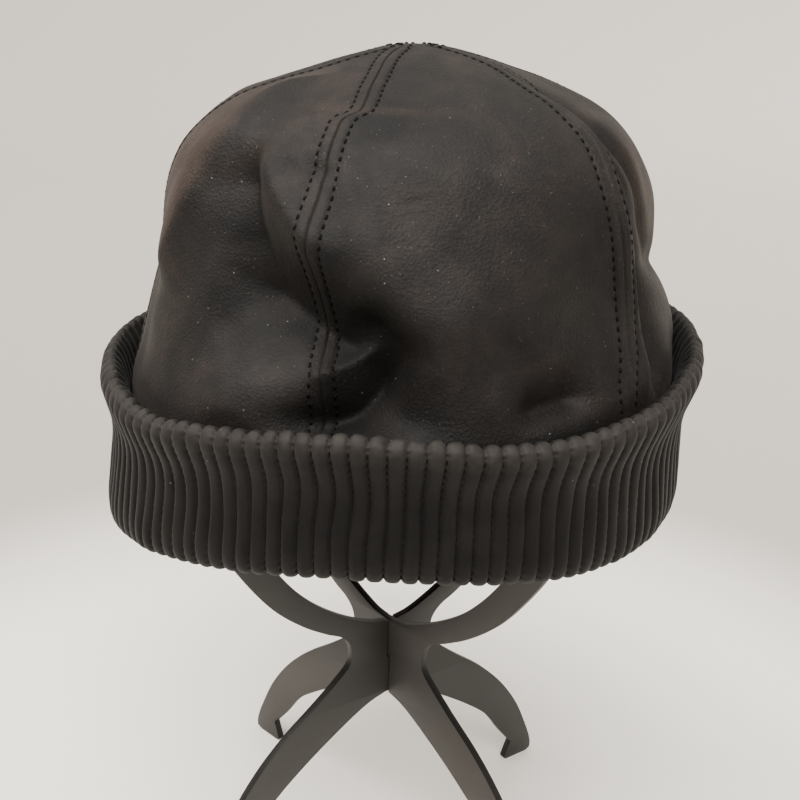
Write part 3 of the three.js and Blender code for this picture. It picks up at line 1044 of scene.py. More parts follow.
@dataclass
class Crown:
    """Six gores sewn together, with opened and topstitched seams."""

    lean: CapLean
    wall: float = 1.6
    cuff_inner: float = 95.4
    cuff_clearance: float = 0.4
    free_radius: float = 140.0
    small_ripple: Ripple = Ripple(12.0, 0.25, 5)
    wide_ripple: Ripple = Ripple(28.0, 0.55, 8)
    cuff_line: float = 200.0
    last_stitch: float = 203.0
    foot_spread: float = 0.28
    allowance: float = 3.6
    allowance_rise: float = 0.32
    row_offset: float = 3.7
    row_dip: float = 0.35
    row_width: float = 0.75
    middle_dip: float = 0.6
    middle_width: float = 0.35
    stitch_pitch: float = 3.15
    stitch_length: float = 1.9
    stitch_width: float = 0.85
    # Crease depth at which the painted shade in its hollow is full.
    full_shade_depth: float = 7.0
    hollow_shade: float = 0.85
    seam_zone: float = 6.0
    fine_step: float = 0.3
    front_step: float = 1.0
    back_step: float = 1.8
    profile: np.ndarray = field(init=False)

    def __post_init__(self) -> None:
        """Smooth the profile table and measure it along its length."""
        fine = smooth_curve(np.array([[row.radius, row.height] for row in CROWN_PROFILE]), 10)
        self.profile = np.column_stack([fine, walked(fine)])

    def length_at(self, height: np.ndarray) -> np.ndarray:
        """Distance from the top along the profile, at a height."""
        return np.interp(-np.asarray(height), -self.profile[:, 1], self.profile[:, 2])

    def at_length(self, length: np.ndarray) -> tuple[np.ndarray, np.ndarray]:
        """Radius and height at a distance from the top along the profile."""
        radius, height, lengths = self.profile.T
        return np.interp(length, lengths, radius), np.interp(length, lengths, height)

    def seam_azimuth(self, name: str, height: np.ndarray) -> np.ndarray:
        """Azimuth of a seam at a height.

        Args:
            name: Which seam.
            height: Heights in millimetres.

        Returns:
            Degrees, between 0 and 360 but for the front seam.
        """
        rows = np.array([[row.height, row.azimuth] for row in SEAMS[name]])
        if len(rows) == 1:
            return np.full(np.shape(height), rows[0, 1], dtype=float)
        fine = smooth_curve(rows, 8)[::-1]
        return np.interp(height, fine[:, 0], fine[:, 1])

    def folds(self, azimuth: np.ndarray, height: np.ndarray, radius: np.ndarray) -> np.ndarray:
        """Sum of all folds.

        Args:
            azimuth: Degrees.
            height: Millimetres.
            radius: Radius before the folds.

        Returns:
            Millimetres outwards.
        """
        total = np.zeros(np.broadcast(azimuth, height).shape)
        for fold in FOLDS:
            aside = np.radians(turn_between(azimuth, fold.azimuth)) * radius
            up = height - fold.height
            turn = math.radians(fold.turn)
            along = (up * math.cos(turn) + aside * math.sin(turn)) / fold.length
            across = aside * math.cos(turn) - up * math.sin(turn) - fold.bend * along**2
            width = np.where(across < 0, fold.left, fold.right)
            total += fold.out * np.exp(-0.5 * (along**2 + (across / width) ** 2))
        return total

    def creases(self, azimuth: np.ndarray, length: np.ndarray) -> np.ndarray:
        """Sum of all creases.

        Args:
            azimuth: Degrees.
            length: Millimetres from the top along the profile.

        Returns:
            Millimetres outwards.
        """
        total = np.zeros(np.broadcast(azimuth, length).shape)
        for crease in CREASES:
            (start_turn, start_height), (end_turn, end_height) = crease.start, crease.end
            first, last = self.length_at(np.array([start_height, end_height]))
            radius = float(self.at_length((first + last) / 2)[0])
            side = np.radians(turn_between(azimuth, (start_turn + end_turn) / 2)) * radius
            up = (first + last) / 2 - length
            run = np.array([math.radians(end_turn - start_turn) * radius, first - last])
            half = np.linalg.norm(run) / 2
            run = run / np.linalg.norm(run)
            along = (side * run[0] + up * run[1]) / half
            across = side * run[1] - up * run[0] - crease.bow * (1 - along**2)
            width = np.where(across > 0, crease.right, crease.left)
            window = 1 - smoothstep(np.abs(along), 0.45, 1.35)
            total += crease.out * window * np.exp(-(np.abs(across / width) ** crease.sharp))
        return total

    def seam_relief(self, distance: np.ndarray) -> np.ndarray:
        """Raised seam allowance with its middle line and the dips of its two stitch rows.

        Args:
            distance: Millimetres from the middle of the seam.

        Returns:
            Millimetres outwards.
        """
        away = np.abs(distance)
        raised = self.allowance_rise * (1 - smoothstep(away, self.allowance - 1.0, self.allowance + 1.2))
        rows = self.row_dip * np.exp(-(((away - self.row_offset) / self.row_width) ** 2))
        middle = self.middle_dip * np.exp(-((away / self.middle_width) ** 2))
        return raised - rows - middle

    def points(self, azimuth: np.ndarray, length: np.ndarray, seam_distance: np.ndarray) -> np.ndarray:
        """Places on the crown's outer face.

        Args:
            azimuth: Degrees.
            length: Millimetres from the top along the profile.
            seam_distance: Millimetres from the nearest seam.

        Returns:
            Places in metres, with x, y and z last.
        """
        radius, height = self.at_length(length)
        step = 1.5
        ahead, ahead_z = self.at_length(length + step)
        behind, behind_z = self.at_length(np.maximum(length - step, 0))
        slope = np.hypot(ahead - behind, ahead_z - behind_z) + 1e-9
        out_r, out_z = (behind_z - ahead_z) / slope, (ahead - behind) / slope
        below_top = smoothstep(radius, 20, 60)
        above_cuff = smoothstep(height, 198, 212)
        plain = np.stack([*around_axis(radius, azimuth), height + 0 * azimuth], axis=-1)
        ripple = self.small_ripple.at(plain) + self.wide_ripple.at(plain)
        folded = self.folds(azimuth, height, radius) + self.creases(azimuth, length) + ripple
        folded = folded * below_top * above_cuff
        relief = self.seam_relief(seam_distance) * smoothstep(radius, 1.0, 9.0) * above_cuff
        move = folded + relief
        # Above the cuff the leather may bulge freely; inside it the cuff holds it back.
        free = (self.free_radius - self.cuff_inner) * smoothstep(height, self.cuff_line, 300)
        limit = self.cuff_inner - self.cuff_clearance + free
        # The lower edge is sewn to the cuff, so it spreads there until it touches it.
        spread = self.foot_spread * (1 - smoothstep(height, 172, 190))
        x, y = around_axis(np.minimum(radius + move * out_r, limit) + spread, azimuth)
        tall = height + move * out_z
        return np.stack([x, y, tall + self.lean.at(x, tall)], axis=-1) * MM

    def gore(self, name: str, material: bpy.types.Material) -> bpy.types.Object:
        """One gore as a leather wall.

        Args:
            name: The node that the gore stands for.
            material: The leather.

        Returns:
            The gore.
        """
        left_name, right_name = GORES[name]
        step = self.front_step if "front" in name else self.back_step
        rim = float(self.length_at(self.cuff_line))
        foot = float(self.profile[-1, 2])
        # The first rows lie close together, because the gores meet in a point at the top.
        lengths = np.concatenate([[0.15, 0.7], np.arange(1.4, rim, step), np.linspace(rim, foot, 14)])
        widest = math.radians(360 / len(GORES)) * self.profile[-1, 0]
        edge = np.arange(0.0, self.seam_zone, self.fine_step)
        middle_steps = int((widest - 2 * self.seam_zone) / step)
        middle = np.linspace(self.seam_zone, widest - self.seam_zone, middle_steps)
        shares = np.concatenate([edge, middle[:-1], widest - edge[::-1]]) / widest
        shares = np.unique(np.clip(shares, 0.0, 1.0))
        radius, height = self.at_length(lengths)
        left = self.seam_azimuth(left_name, height)[:, None]
        right = self.seam_azimuth(right_name, height)[:, None]
        right = left + np.mod(right - left, 360.0)
        azimuth = left + (right - left) * shares[None, :]
        from_left = np.radians(azimuth - left) * radius[:, None]
        from_right = np.radians(right - azimuth) * radius[:, None]
        distance = np.minimum(from_left, from_right)
        # Inside the cuff the crown's lower edge follows the cuff's own.
        drop = cuff_wave("edge", azimuth) * smoothstep(height, 196, 165.5)[:, None]
        places = self.points(azimuth, np.broadcast_to(lengths[:, None], azimuth.shape), distance)
        places[..., 2] += drop * MM
        flipped = places[::-1].reshape(-1, 3)
        piece = mesh_object(name.replace("panel", "gore"), flipped, grid_faces(*azimuth.shape, False))
        height = height[:, None]
        # Painted shade: the deeper a crease, the darker its leather, and the gap behind the right ridge is
        # darkened as well.
        hollow = np.clip(-self.creases(azimuth, lengths[:, None]) / self.full_shade_depth, 0, 1)
        hollow = np.maximum(hollow, self.gap_shade(azimuth, height))
        # Painted light and shade in a few patches is added on top of the painted shade.
        dust = np.maximum(1 - self.hollow_shade * hollow + self.painted_shading(azimuth, height), 0)
        mark(piece.data, "wear", self.wear(azimuth, height, distance)[::-1].ravel())
        mark(piece.data, "dust", dust[::-1].ravel())
        piece.data.materials.append(material)
        solid = piece.modifiers.new("leather_thickness", "SOLIDIFY")
        solid.thickness = self.wall * MM
        solid.offset = -1.0
        done = plain_mesh(piece, piece.name + "_leather")
        done.data.shade_smooth()
        done.data.set_sharp_from_angle(angle=math.radians(50))
        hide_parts(name)
        return ride(done)

    def wear(self, azimuth: np.ndarray, height: np.ndarray, distance: np.ndarray) -> np.ndarray:
        """How brown the leather is, and where a sheen is painted on.

        That is on the seams' ridges and along one old crease, and behind the ridge at each side, where
        hands take hold of the cap; there it is partly brown scuffing and partly a painted sheen.

        Args:
            azimuth: Degrees.
            height: Millimetres.
            distance: Millimetres from the nearest seam.

        Returns:
            Values from 0 to 1.
        """
        azimuth = turn_between(azimuth, 0.0)
        seams = 0.1 * np.exp(-(((np.abs(distance) - 1.3) / 0.9) ** 2))
        crease_height, crease_width, crease_middle = 293.2, 0.9, -13.0
        crease = 0.45 * np.exp(-(((height - crease_height) / crease_width) ** 2))
        crease = crease * (1 - smoothstep(np.abs(azimuth - crease_middle), 10, 32))
        # Behind the ridge at each side: partly brown scuffing, partly a painted sheen where light grazes the
        # side.
        beyond = np.interp(height, *np.array(LEFT_RIDGE, dtype=float).T) - azimuth
        left = 0.75 * smoothstep(beyond, 0, 3) * smoothstep(azimuth, -112, -78)
        left = left * band(height, 225, 262, 282, 300)
        right = 0.45 * band(azimuth, 65.5, 68.5, 92, 112) * band(height, 230, 256, 272, 292)
        return np.clip(seams + crease + left + right, 0.0, 1.0)

    def painted_shading(self, azimuth: np.ndarray, height: np.ndarray) -> np.ndarray:
        """Where light and shade are painted on in patches.

        Args:
            azimuth: Degrees.
            height: Millimetres.

        Returns:
            What is added to the mark of painted shading, above 0 where light is painted on.
        """
        total = np.zeros(np.broadcast(azimuth, height).shape)
        for patch in PAINTED_SHADING_PATCHES:
            aside = turn_between(azimuth, patch.azimuth) / patch.wide
            total += patch.lift * np.exp(-(aside**2) - ((height - patch.height) / patch.tall) ** 2)
        return total

    def gap_shade(self, azimuth: np.ndarray, height: np.ndarray) -> np.ndarray:
        """Painted shade deep in the gap behind the right ridge.

        Args:
            azimuth: Degrees.
            height: Millimetres.

        Returns:
            Values from 0 to 1.
        """
        levels, middles, reaches = np.array(RIGHT_GAP, dtype=float).T
        middle, reach = np.interp(height, levels, middles), np.interp(height, levels, reaches)
        shade = np.exp(-((turn_between(azimuth, 0.0) - middle) / reach) ** 2)
        return shade * band(height, 196, 206, 270, 286)

    def stitch_rows(self) -> list[Row]:
        """Two rows of topstitching along each seam, above the cuff.

        Returns:
            The rows.
        """
        rows = []
        first, last, step = 6.0, float(self.length_at(self.last_stitch)), 0.25
        for name in SEAMS:
            for side in (-1, 1):
                line, out = self.row_line(name, side, np.arange(first, last, step))
                travelled = walked(line)
                stops = np.arange(0.0, travelled[-1], self.stitch_pitch * MM)
                places, outs = (
                    np.stack([np.interp(stops, travelled, column) for column in values.T], axis=1)
                    for values in (line, out)
                )
                rows.append(Row(places, unit(np.gradient(places, axis=0)), unit(outs)))
        return rows

    def row_line(self, name: str, side: int, lengths: np.ndarray) -> tuple[np.ndarray, np.ndarray]:
        """The line of one stitch row and the outward direction along it.

        Args:
            name: The seam.
            side: -1 left of it, 1 right of it.
            lengths: Millimetres from the top along the profile.

        Returns:
            Places in metres and unit directions.
        """
        radius, height = self.at_length(lengths)
        narrow = np.minimum(self.row_offset, radius * 0.32)
        azimuth = self.seam_azimuth(name, height) + side * np.degrees(narrow / radius)
        places = self.points(azimuth, lengths, narrow)
        turn = np.degrees(0.4 / radius)
        left, right = (self.points(azimuth + way * turn, lengths, narrow) for way in (-1, 1))
        above, below = (self.points(azimuth, lengths + way * 0.8, narrow) for way in (-1, 1))
        return places, unit(np.cross(below - above, right - left))

    def build(self, leather: bpy.types.Material, thread: bpy.types.Material, tree: Tree) -> None:
        """Build the gores and their stitches.

        Args:
            leather: Material of the gores.
            thread: Material of the stitches.
            tree: The stitch tree.
        """
        for name in GORES:
            self.gore(name, leather)
        stitch = stitch_mesh("crown_stitch", self.stitch_length * MM, self.stitch_width * MM)
        ride(sew(tree, self.stitch_rows(), "crown_topstitching", stitch, thread, seed=3))


# The cuff


class SectionRow(NamedTuple):
    """A point of the cuff's section, and how far the groove between two ribs lies from it."""

    radius: float
    height: float
    groove_out: float
    groove_up: float


CUFF_SECTION = table(
    SectionRow,
    (95.4, 163.6, 0.3, 0.2), (95.4, 180.0, 0.3, 0.0), (95.6, 195.0, 0.6, 0.0), (96.6, 202.0, 1.0, -0.2),
    (98.2, 206.4, 1.4, -1.3), (101.2, 208.7, 0.0, -2.3), (104.2, 206.9, -1.7, -1.3),
    (105.0, 203.6, -2.2, -0.2), (103.6, 199.4, -2.1, 0.0), (101.4, 193.5, -1.9, 0.0),
    (100.7, 187.0, -1.9, 0.0), (101.3, 178.0, -1.9, 0.0), (101.9, 170.0, -1.9, 0.1),
    (101.2, 165.0, -1.7, 0.6), (99.2, 162.4, -0.9, 1.4), (97.0, 162.3, 0.1, 1.1),
)


@dataclass
class RibbedCuff:
    """The turned-up band: cords under leather, stitched down between every two ribs."""

    lean: CapLean
    ribs: int = 120
    across: int = 9
    steps: int = 8
    fullness: float = 2.6
    roundness: float = 0.62
    weld: float = 0.02
    outer_side: float = 99.0
    channel: tuple[float, float] = (163.5, 205.5)
    sway: Ripple = Ripple(15.0, 0.4, 21)
    rib_swell: Ripple = Ripple(6.5, 0.22, 34)
    wide_swell: Ripple = Ripple(34.0, 0.4, 2)
    rim_rise: Ripple = Ripple(4.2, 0.3, 55)
    pinch: float = 0.3
    # How grey the rim's top gets, partly chafing and partly painted light.
    rubbed_and_lit_rim: float = 1.3
    rim_height: float = 208.7
    edge_height: float = 162.2
    inner: float = 95.4
    stitch_pitch: float = 2.6
    stitch_length: float = 1.5
    stitch_width: float = 0.45
    stitch_lift: float = 0.12

    def section(self) -> np.ndarray:
        """The closed section, smoothed.

        Its outside is fine enough for the stitches to pinch the grooves, its inside coarse.

        Returns:
            Radius, height and the two groove columns, one point a row.
        """
        rows = np.array(CUFF_SECTION, dtype=float)
        ring = np.vstack([rows[-2:], rows, rows[:2]])
        fine = smooth_curve(ring, self.steps)
        fine = fine[2 * self.steps : 2 * self.steps + len(rows) * self.steps]
        outside = fine[:, 0] > self.outer_side
        keep = outside | (np.arange(len(fine)) % 4 == 0)
        pull = 1 - self.pinch * (0.5 - 0.5 * np.cos(2 * math.pi * walked(fine[:, :2]) / self.stitch_pitch))
        fine[:, 2:] *= np.where(outside, pull, 1.0)[:, None]
        return fine[keep]

    def rib(self) -> bpy.types.Object:
        """One rib at the front, from groove to groove.

        Returns:
            A strip that closes on itself along the section.
        """
        section = self.section()
        turns = np.linspace(-1.0, 1.0, self.across + 1)
        hollow = 1.0 - (1.0 - np.abs(turns) ** self.fullness) ** self.roundness
        radius = section[:, 0:1] + section[:, 2:3] * hollow[None, :]
        height = section[:, 1:2] + section[:, 3:4] * hollow[None, :]
        around = around_axis(radius, turns[None, :] * 180.0 / self.ribs)
        places = np.stack([*around, height], axis=-1).reshape(-1, 3) * MM
        faces = grid_faces(len(section), self.across + 1, True)
        return mesh_object("cuff_rib", places, [tuple(reversed(f)) for f in faces])

    def ring_tree(self) -> Tree:
        """Tree that sets one rib after another round the axis and welds them.

        Returns:
            The tree, with the inputs Rib, Count, Weld and Material.
        """
        tree = Tree("ribs_round_the_cuff", Rib="Object", Count="Int", Weld="Float", Material="Material")
        line = tree.add(
            "GeometryNodeMeshLine",
            {"Count": tree.given["Count"], "Start Location": (0, 0, 0), "Offset": (0, 0, 0)},
            mode="OFFSET",
        )
        index = tree.add("GeometryNodeInputIndex", {}).outputs[0]
        step = tree.add("ShaderNodeMath", {0: 2 * math.pi, 1: tree.given["Count"]}, operation="DIVIDE")
        angle = tree.add("ShaderNodeMath", {0: index, 1: step.outputs[0]}, operation="MULTIPLY")
        spin = tree.add("ShaderNodeCombineXYZ", {2: angle.outputs[0]})
        rib = tree.add("GeometryNodeObjectInfo", {"Object": tree.given["Rib"]}).outputs["Geometry"]
        laid = tree.add(
            "GeometryNodeInstanceOnPoints",
            {"Points": line.outputs["Mesh"], "Instance": rib, "Rotation": spin.outputs[0]},
        )
        real = tree.add("GeometryNodeRealizeInstances", {"Geometry": laid.outputs["Instances"]})
        welded = tree.add(
            "GeometryNodeMergeByDistance",
            {"Geometry": real.outputs["Geometry"], "Distance": tree.given["Weld"]},
        )
        tree.end(welded.outputs["Geometry"])
        return tree

    def settle(self, places: np.ndarray) -> np.ndarray:
        """Give the even ring the real cuff's waves, uneven ribs and lean.

        Args:
            places: Points of the even ring, in metres.

        Returns:
            The same points where they really lie.
        """
        x, y, z = (places / MM).T
        azimuth = np.degrees(np.arctan2(x, -y))
        radius = np.hypot(x, y)
        share = (z - self.edge_height) / (self.rim_height - self.edge_height)
        outside = smoothstep(radius, self.inner + 0.5, self.inner + 4.0)
        around = np.stack([x, y, z * 0.4], axis=1) / radius[:, None] * 100.0
        sway = self.sway.at(np.stack([x, y, z], axis=1)) * smoothstep(share, 0.0, 0.5)
        swell = self.rib_swell.at(around) + self.wide_swell.at(around)
        azimuth = azimuth + np.degrees(sway / 100.0) * outside
        radius = radius + outside * (swell + (1 - share) * cuff_wave("edge_out", azimuth))
        rise = share * cuff_wave("rim", azimuth) + (1 - share) * cuff_wave("edge", azimuth)
        around[:, 2] = 0.0
        rim_rib = self.rim_rise.at(around) * smoothstep(share, 0.85, 1.0)
        x, y = around_axis(radius, azimuth)
        return np.stack([x, y, z + rise + rim_rib + self.lean.at(x, z)], axis=1) * MM

    def groove_rows(self) -> list[Row]:
        """Stitches in each groove of the outer face.

        Returns:
            A row for each groove.
        """
        section = self.section()
        low, high = self.channel
        outer = section[section[:, 0] > self.outer_side + 0.5]
        outer = outer[np.argsort(-outer[:, 1])]
        outer = outer[(outer[:, 1] < high) & (outer[:, 1] > low)]
        radius = outer[:, 0] + outer[:, 2]
        height = outer[:, 1] + outer[:, 3]
        stops = np.arange(height.max() - 1.0, height.min(), -self.stitch_pitch)
        deep = np.interp(stops, height[::-1], radius[::-1]) + self.stitch_lift
        rows = []
        for number in range(self.ribs):
            azimuth = (number + 0.5) * 360.0 / self.ribs
            places = self.settle(np.stack([*around_axis(deep, azimuth), stops], axis=1) * MM)
            outs = np.tile([*around_axis(1.0, azimuth), 0.0], (len(stops), 1))
            rows.append(Row(places, unit(np.gradient(places, axis=0)), outs))
        return rows

    def build(self, leather: bpy.types.Material, thread: bpy.types.Material, tree: Tree) -> None:
        """Build the ring of ribs and its stitches.

        Args:
            leather: Material of the cuff.
            thread: Material of the stitches.
            tree: The stitch tree.
        """
        rib = self.rib()
        host = mesh_object("cuff_host", np.zeros((1, 3)), [])
        ring = self.ring_tree().run(
            host, "ribbed_cuff_leather", Rib=rib, Count=self.ribs, Weld=self.weld * MM, Material=leather
        )
        bpy.data.objects.remove(rib)
        count = len(ring.data.vertices)
        places = np.empty(count * 3)
        ring.data.vertices.foreach_get("co", places)
        even = places.reshape(-1, 3)
        ring.data.vertices.foreach_set("co", self.settle(even).ravel())
        # Painted light on the top of the rim's roll, partly chafing.
        bulge = smoothstep(np.hypot(even[:, 0], even[:, 1]) / MM, 99.5, 103.0)
        rim = smoothstep(even[:, 2] / MM, 199.0, 207.0)
        mark(ring.data, "rubbed", self.rubbed_and_lit_rim * bulge * rim)
        ring.data.update()
        ring.data.shade_smooth()
        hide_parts("ribbed_cuff")
        ride(ring)
        stitch = stitch_mesh("cuff_stitch", self.stitch_length * MM, self.stitch_width * MM, sides=4)
        ride(sew(tree, self.groove_rows(), "cuff_channel_stitching", stitch, thread, seed=7))


# The stand


class SlotSide(Enum):
    """From which side the two slots of a plate are cut."""

    TOP = "top"
    BOTTOM = "bottom"


Outline = tuple[tuple[float, float], ...]


@dataclass
class FoldingStand:
    """Two crossed plates, each with two legs, two arms and an arch under the crown."""

    plate: float = 3.0
    edge_round: float = 0.35
    waist_middle: float = 76.5
    arch_middle: float = 299.4
    slot: float = 2.06
    slot_gap: float = 0.15
    top_inset: float = 2.15
    side_inset: float = 1.65
    arch_top: float = 306.1
    arch_inner_top: float = 292.8
    arm_inner_foot: float = 92.6
    leg_inner_top: float = 60.2
    toe_tip: float = 65.7
    heel: float = 79.4
    leg_outer: Outline = (
        (80.6, 1.2), (80.4, 5), (77.5, 13), (70, 28.5), (60, 42.5), (48, 54.5), (34, 65.2), (24.5, 73),
    )
    waist: Outline = ((19.8, 77.8), (18.7, 82.5), (20, 88), (24, 92.2))
    arm_outer: Outline = (
        (31, 95.8), (42, 102.9), (54, 113.4), (65, 127.5), (74, 142), (82, 160), (87, 180), (89, 200),
    )
    arm_inner: Outline = (
        (10, 94.4), (24, 101.4), (38, 111.8), (50, 125), (59.5, 140), (67, 158), (72, 180), (74, 205),
        (73, 228), (68.5, 249), (60, 266), (47, 279), (28, 289.5),
    )
    leg_inner: Outline = ((11, 57.4), (24, 50), (39.5, 39.6), (53, 28.5), (62, 16.6), (68.6, 8.6))
    arch_heights: tuple[float, ...] = (
        212, 224, 236, 248, 258, 267, 275, 281.5, 287, 291.5, 295.5, 299, 302, 304.3, 306, 307.2,
    )

    def arch_edge(self, crown: Crown) -> Outline:
        """Outer edge of the arch: the crown's inside, less a clearance.

        Args:
            crown: The crown over it.

        Returns:
            Points from the arm up to the top.
        """
        height = np.array(self.arch_heights)
        radius = np.interp(-height, -crown.profile[:, 1], crown.profile[:, 0])
        line = np.column_stack([radius, height])
        run = np.gradient(line, axis=0)
        outward = unit(np.column_stack([run[:, 1], -run[:, 0]]))
        inset = self.top_inset + self.side_inset * smoothstep(radius, 10, 45)
        return tuple(tuple(point) for point in line - outward * inset[:, None])

    def outline(self, crown: Crown, cut: SlotSide) -> tuple[list, list]:
        """Outer outline and window of a plate.

        Args:
            crown: The crown over it.
            cut: From which side its slots are cut.

        Returns:
            The outer loop and the window's loop, both in millimetres.
        """

        def side(points: np.ndarray, sign: int) -> list:
            """Mirror a curve to one side, in walking order."""
            scaled = [(sign * a, h) for a, h in points]
            return scaled if sign > 0 else scaled[::-1]

        legs = smooth_curve(
            np.array([*self.leg_outer, *self.waist, *self.arm_outer, *self.arch_edge(crown)], dtype=float), 6
        )
        inner_leg = smooth_curve(np.array([(self.slot, self.leg_inner_top), *self.leg_inner]), 6)
        arms = smooth_curve(
            np.array([(self.slot, self.arm_inner_foot), *self.arm_inner, (self.slot, self.arch_inner_top)]), 6
        )
        top_cut = cut is SlotSide.TOP
        gap = -self.slot_gap if top_cut else self.slot_gap
        arch_notch = [(self.slot, self.arch_middle + gap), (-self.slot, self.arch_middle + gap)]
        waist_notch = [(-self.slot, self.waist_middle + gap), (self.slot, self.waist_middle + gap)]
        round_heel = [(self.heel - 3.0, 0.0), (self.heel - 1.2, 0.05), (self.heel - 0.1, 0.5)]
        round_toe = [(self.toe_tip - 0.1, 1.2), (self.toe_tip + 0.3, 0.35), (self.toe_tip + 1.4, 0.0)]
        outer = [*side(round_heel, 1), *side(legs, 1), (self.slot, self.arch_top)]
        outer += arch_notch if top_cut else []
        outer += [(-self.slot, self.arch_top), *side(legs, -1), *side(round_heel, -1), *side(round_toe, -1)]
        outer += side(inner_leg, -1)
        outer += [] if top_cut else waist_notch
        outer += [*side(inner_leg, 1), *side(round_toe, 1)]
        opening = side(arms, 1)
        opening += [] if top_cut else arch_notch
        opening += side(arms, -1)
        opening += waist_notch if top_cut else []
        return outer, opening

    def plate_object(self, name: str, node: str, azimuth: float, cut: SlotSide, crown: Crown,
                     materials: list[bpy.types.Material]) -> bpy.types.Object:
        """One plate, with slightly rounded edges.

        Args:
            name: The piece's name.
            node: The node that it stands for.
            azimuth: Where its front leg points.
            cut: From which side its slots are cut.
            crown: The crown over it.
            materials: The material of this plate's flat faces, and the edge's.

        Returns:
            The plate.
        """
        curve = bpy.data.curves.new(name + "_outline", "CURVE")
        curve.dimensions = "2D"
        curve.fill_mode = "BOTH"
        curve.extrude = self.plate / 2 * MM
        for loop in self.outline(crown, cut):
            spline = curve.splines.new("POLY")
            spline.points.add(len(loop) - 1)
            for point, (away, height) in zip(spline.points, loop):
                point.co = (away * MM, height * MM, 0.0, 1.0)
            spline.use_cyclic_u = True
        cut_out = plain_mesh(linked(name + "_outline", curve), name + "_cut")
        shell = bmesh.new()
        shell.from_mesh(cut_out.data)
        bmesh.ops.remove_doubles(shell, verts=shell.verts, dist=0.01 * MM)
        bmesh.ops.recalc_face_normals(shell, faces=shell.faces)
        shell.to_mesh(cut_out.data)
        shell.free()
        rounded = cut_out.modifiers.new("moulded_edge", "BEVEL")
        rounded.width = self.edge_round * MM
        rounded.segments = 2
        rounded.limit_method = "ANGLE"
        rounded.angle_limit = math.radians(60)
        plate = plain_mesh(cut_out, name)
        place = Matrix.Rotation(math.radians(azimuth - 90.0), 4, "Z") @ Matrix.Rotation(math.pi / 2, 4, "X")
        plate.data.transform(place)
        plate.data.materials.clear()
        for material in materials:
            plate.data.materials.append(material)
        facing = Vector((math.cos(math.radians(azimuth)), math.sin(math.radians(azimuth)), 0.0))
        for polygon in plate.data.polygons:
            polygon.material_index = 0 if abs(polygon.normal.dot(facing)) > 0.9 else 1
        plate.data.shade_smooth()
        plate.data.set_sharp_from_angle(angle=math.radians(32))
        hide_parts(node)
        return ride(plate)

    def build(self, crown: Crown, materials: list[bpy.types.Material]) -> None:
        """Build both plates.

        Args:
            crown: The crown over them.
            materials: The left plate's faces, the right plate's faces and the edges of both.
        """
        left, right, edge = materials
        plates = (
            ("stand_plate_left_front", "stand_plate_a", -53.3, SlotSide.TOP, left),
            ("stand_plate_right_front", "stand_plate_b", 45.9, SlotSide.BOTTOM, right),
        )
        for name, node, azimuth, cut, face in plates:
            self.plate_object(name, node, azimuth, cut, crown, [face, edge])


# The studio


class Lamp(NamedTuple):
    """A broad light: its strength, its width in degrees and the direction that it comes from."""

    name: str
    energy: float
    spread: float
    place: tuple[float, float, float]


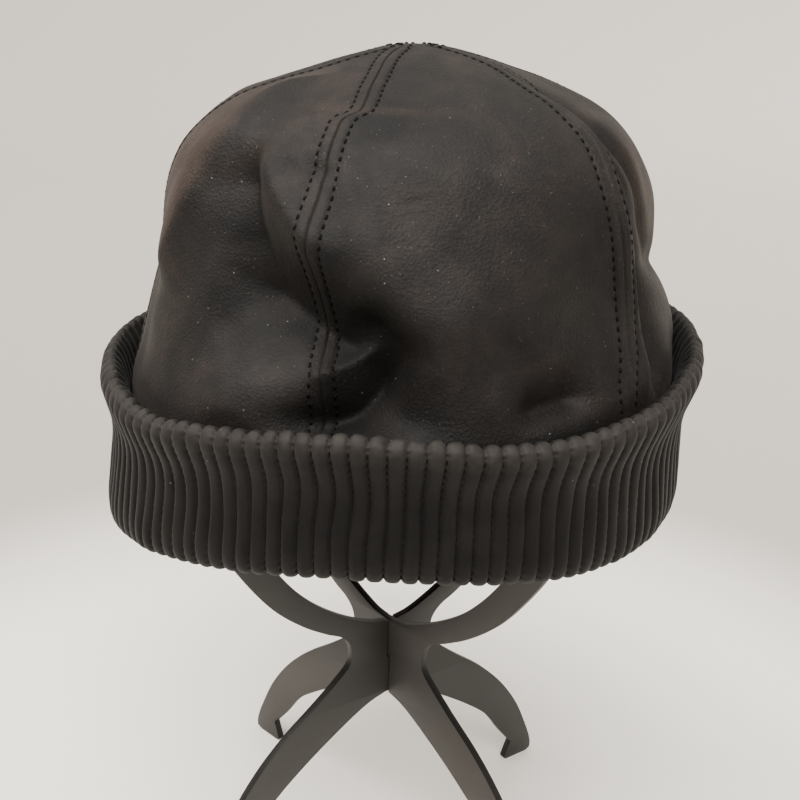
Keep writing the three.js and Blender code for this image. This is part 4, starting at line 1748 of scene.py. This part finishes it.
@dataclass
class Studio:
    """Floor, backdrop, lights and the camera at the photograph's angle."""

    camera_place: tuple[float, float, float] = (0.0, -0.410, 0.3357)
    pitch: float = 20.38
    roll: float = 2.5
    lens: float = 53.98
    sensor: float = 36.0
    floor_radius: float = 2.4
    wall_height: float = 2.0
    bend: float = 0.9
    fill: float = 0.12
    fill_tint: str = "e9e6e1"
    daylight_tint: str = "fffaf4"
    lamps: tuple[Lamp, ...] = table(
        Lamp,
        ("front_window", 6.8, 48.0, (0.0, -0.66, 0.75)),
        ("left_window", 5.2, 48.0, (-0.64, -0.15, 0.74)),
        ("ceiling", 1.8, 48.0, (0.0, 0.2, 0.98)),
    )

    def backdrop(self, paper: bpy.types.Material) -> None:
        """Paper that lies under the object and bends up into a wall far around it.

        Args:
            paper: Its material.
        """
        angles = np.linspace(0.0, math.pi / 2, 16)
        away = self.floor_radius - self.bend + self.bend * np.sin(angles)
        rise = self.bend - self.bend * np.cos(angles)
        line = np.column_stack([away, rise])
        line = np.vstack([[0.001, 0.0], [0.4, 0.0], line, [self.floor_radius, self.wall_height]])
        turns = np.linspace(0.0, 2 * math.pi, 97)
        out, up = line[:, None, 0], line[:, None, 1]
        flat = np.broadcast_arrays(out * np.cos(turns), out * np.sin(turns), up)
        places = np.stack(flat, axis=-1).reshape(-1, 3)
        sheet = mesh_object("backdrop", places, grid_faces(len(line), len(turns), False))
        sheet.data.materials.append(paper)

    def daylight(self) -> None:
        """Broad, soft light from above, more of it from the front and the left."""
        for lamp in self.lamps:
            light = bpy.data.lights.new(lamp.name, "SUN")
            light.energy = lamp.energy
            light.angle = math.radians(lamp.spread)
            light.color = linear(self.daylight_tint)[:3]
            hung = linked(lamp.name, light)
            hung.location = Vector(lamp.place) * 2
            hung.rotation_euler = Vector(lamp.place).to_track_quat("Z", "Y").to_euler()

    def camera(self) -> None:
        """The camera, pitched down and rolled as the photograph's was."""
        pitch, roll = math.radians(self.pitch), math.radians(self.roll)
        ahead = Vector((0.0, math.cos(pitch), -math.sin(pitch)))
        level = Vector((1.0, 0.0, 0.0))
        up = Vector((0.0, math.sin(pitch), math.cos(pitch)))
        right = math.cos(roll) * level + math.sin(roll) * up
        top = -math.sin(roll) * level + math.cos(roll) * up
        turned = Matrix((right, top, -ahead)).transposed().to_4x4()
        data = bpy.data.cameras.new("photo_camera")
        data.lens = self.lens
        data.sensor_width = self.sensor
        data.clip_start = 0.01
        seen = linked("photo_camera", data)
        seen.matrix_world = Matrix.Translation(self.camera_place) @ turned
        bpy.context.scene.camera = seen

    def build(self, paper: bpy.types.Material) -> None:
        """Build the studio.

        Args:
            paper: The backdrop's material.
        """
        self.camera()
        self.backdrop(paper)
        self.daylight()
        world = bpy.data.worlds.new("soft_room")
        world.use_nodes = True
        sky = world.node_tree.nodes["Background"].inputs
        sky["Color"].default_value = linear(self.fill_tint)
        sky["Strength"].default_value = self.fill
        bpy.context.scene.world = world


def main() -> None:
    """Build everything in order and report it."""
    logging.basicConfig(level=logging.INFO, format="%(name)s: %(message)s")
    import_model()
    lean = CapLean()
    crown = Crown(lean)
    thread = SewingThread().build()
    tree = stitch_tree()
    Studio().build(StudioPaper().build())
    crown.build(OiledNubuck().build(), thread, tree)
    RibbedCuff(lean).build(PolishedRibLeather().build(), thread, tree)
    # Both plates are one plastic: the left plate's darker grey is painted shade, the right plate's grey is a
    # little warmer.
    shaded_left_abs = StandPlastic("moulded_abs_dark_grey", "2b2a28", "252422").build()
    warm = StandPlastic("moulded_abs_warm_grey", "34312f", "2d2a26").build()
    FoldingStand().build(crown, [shaded_left_abs, warm, StandEdge().build()])


if __name__ == "__main__":
    main()
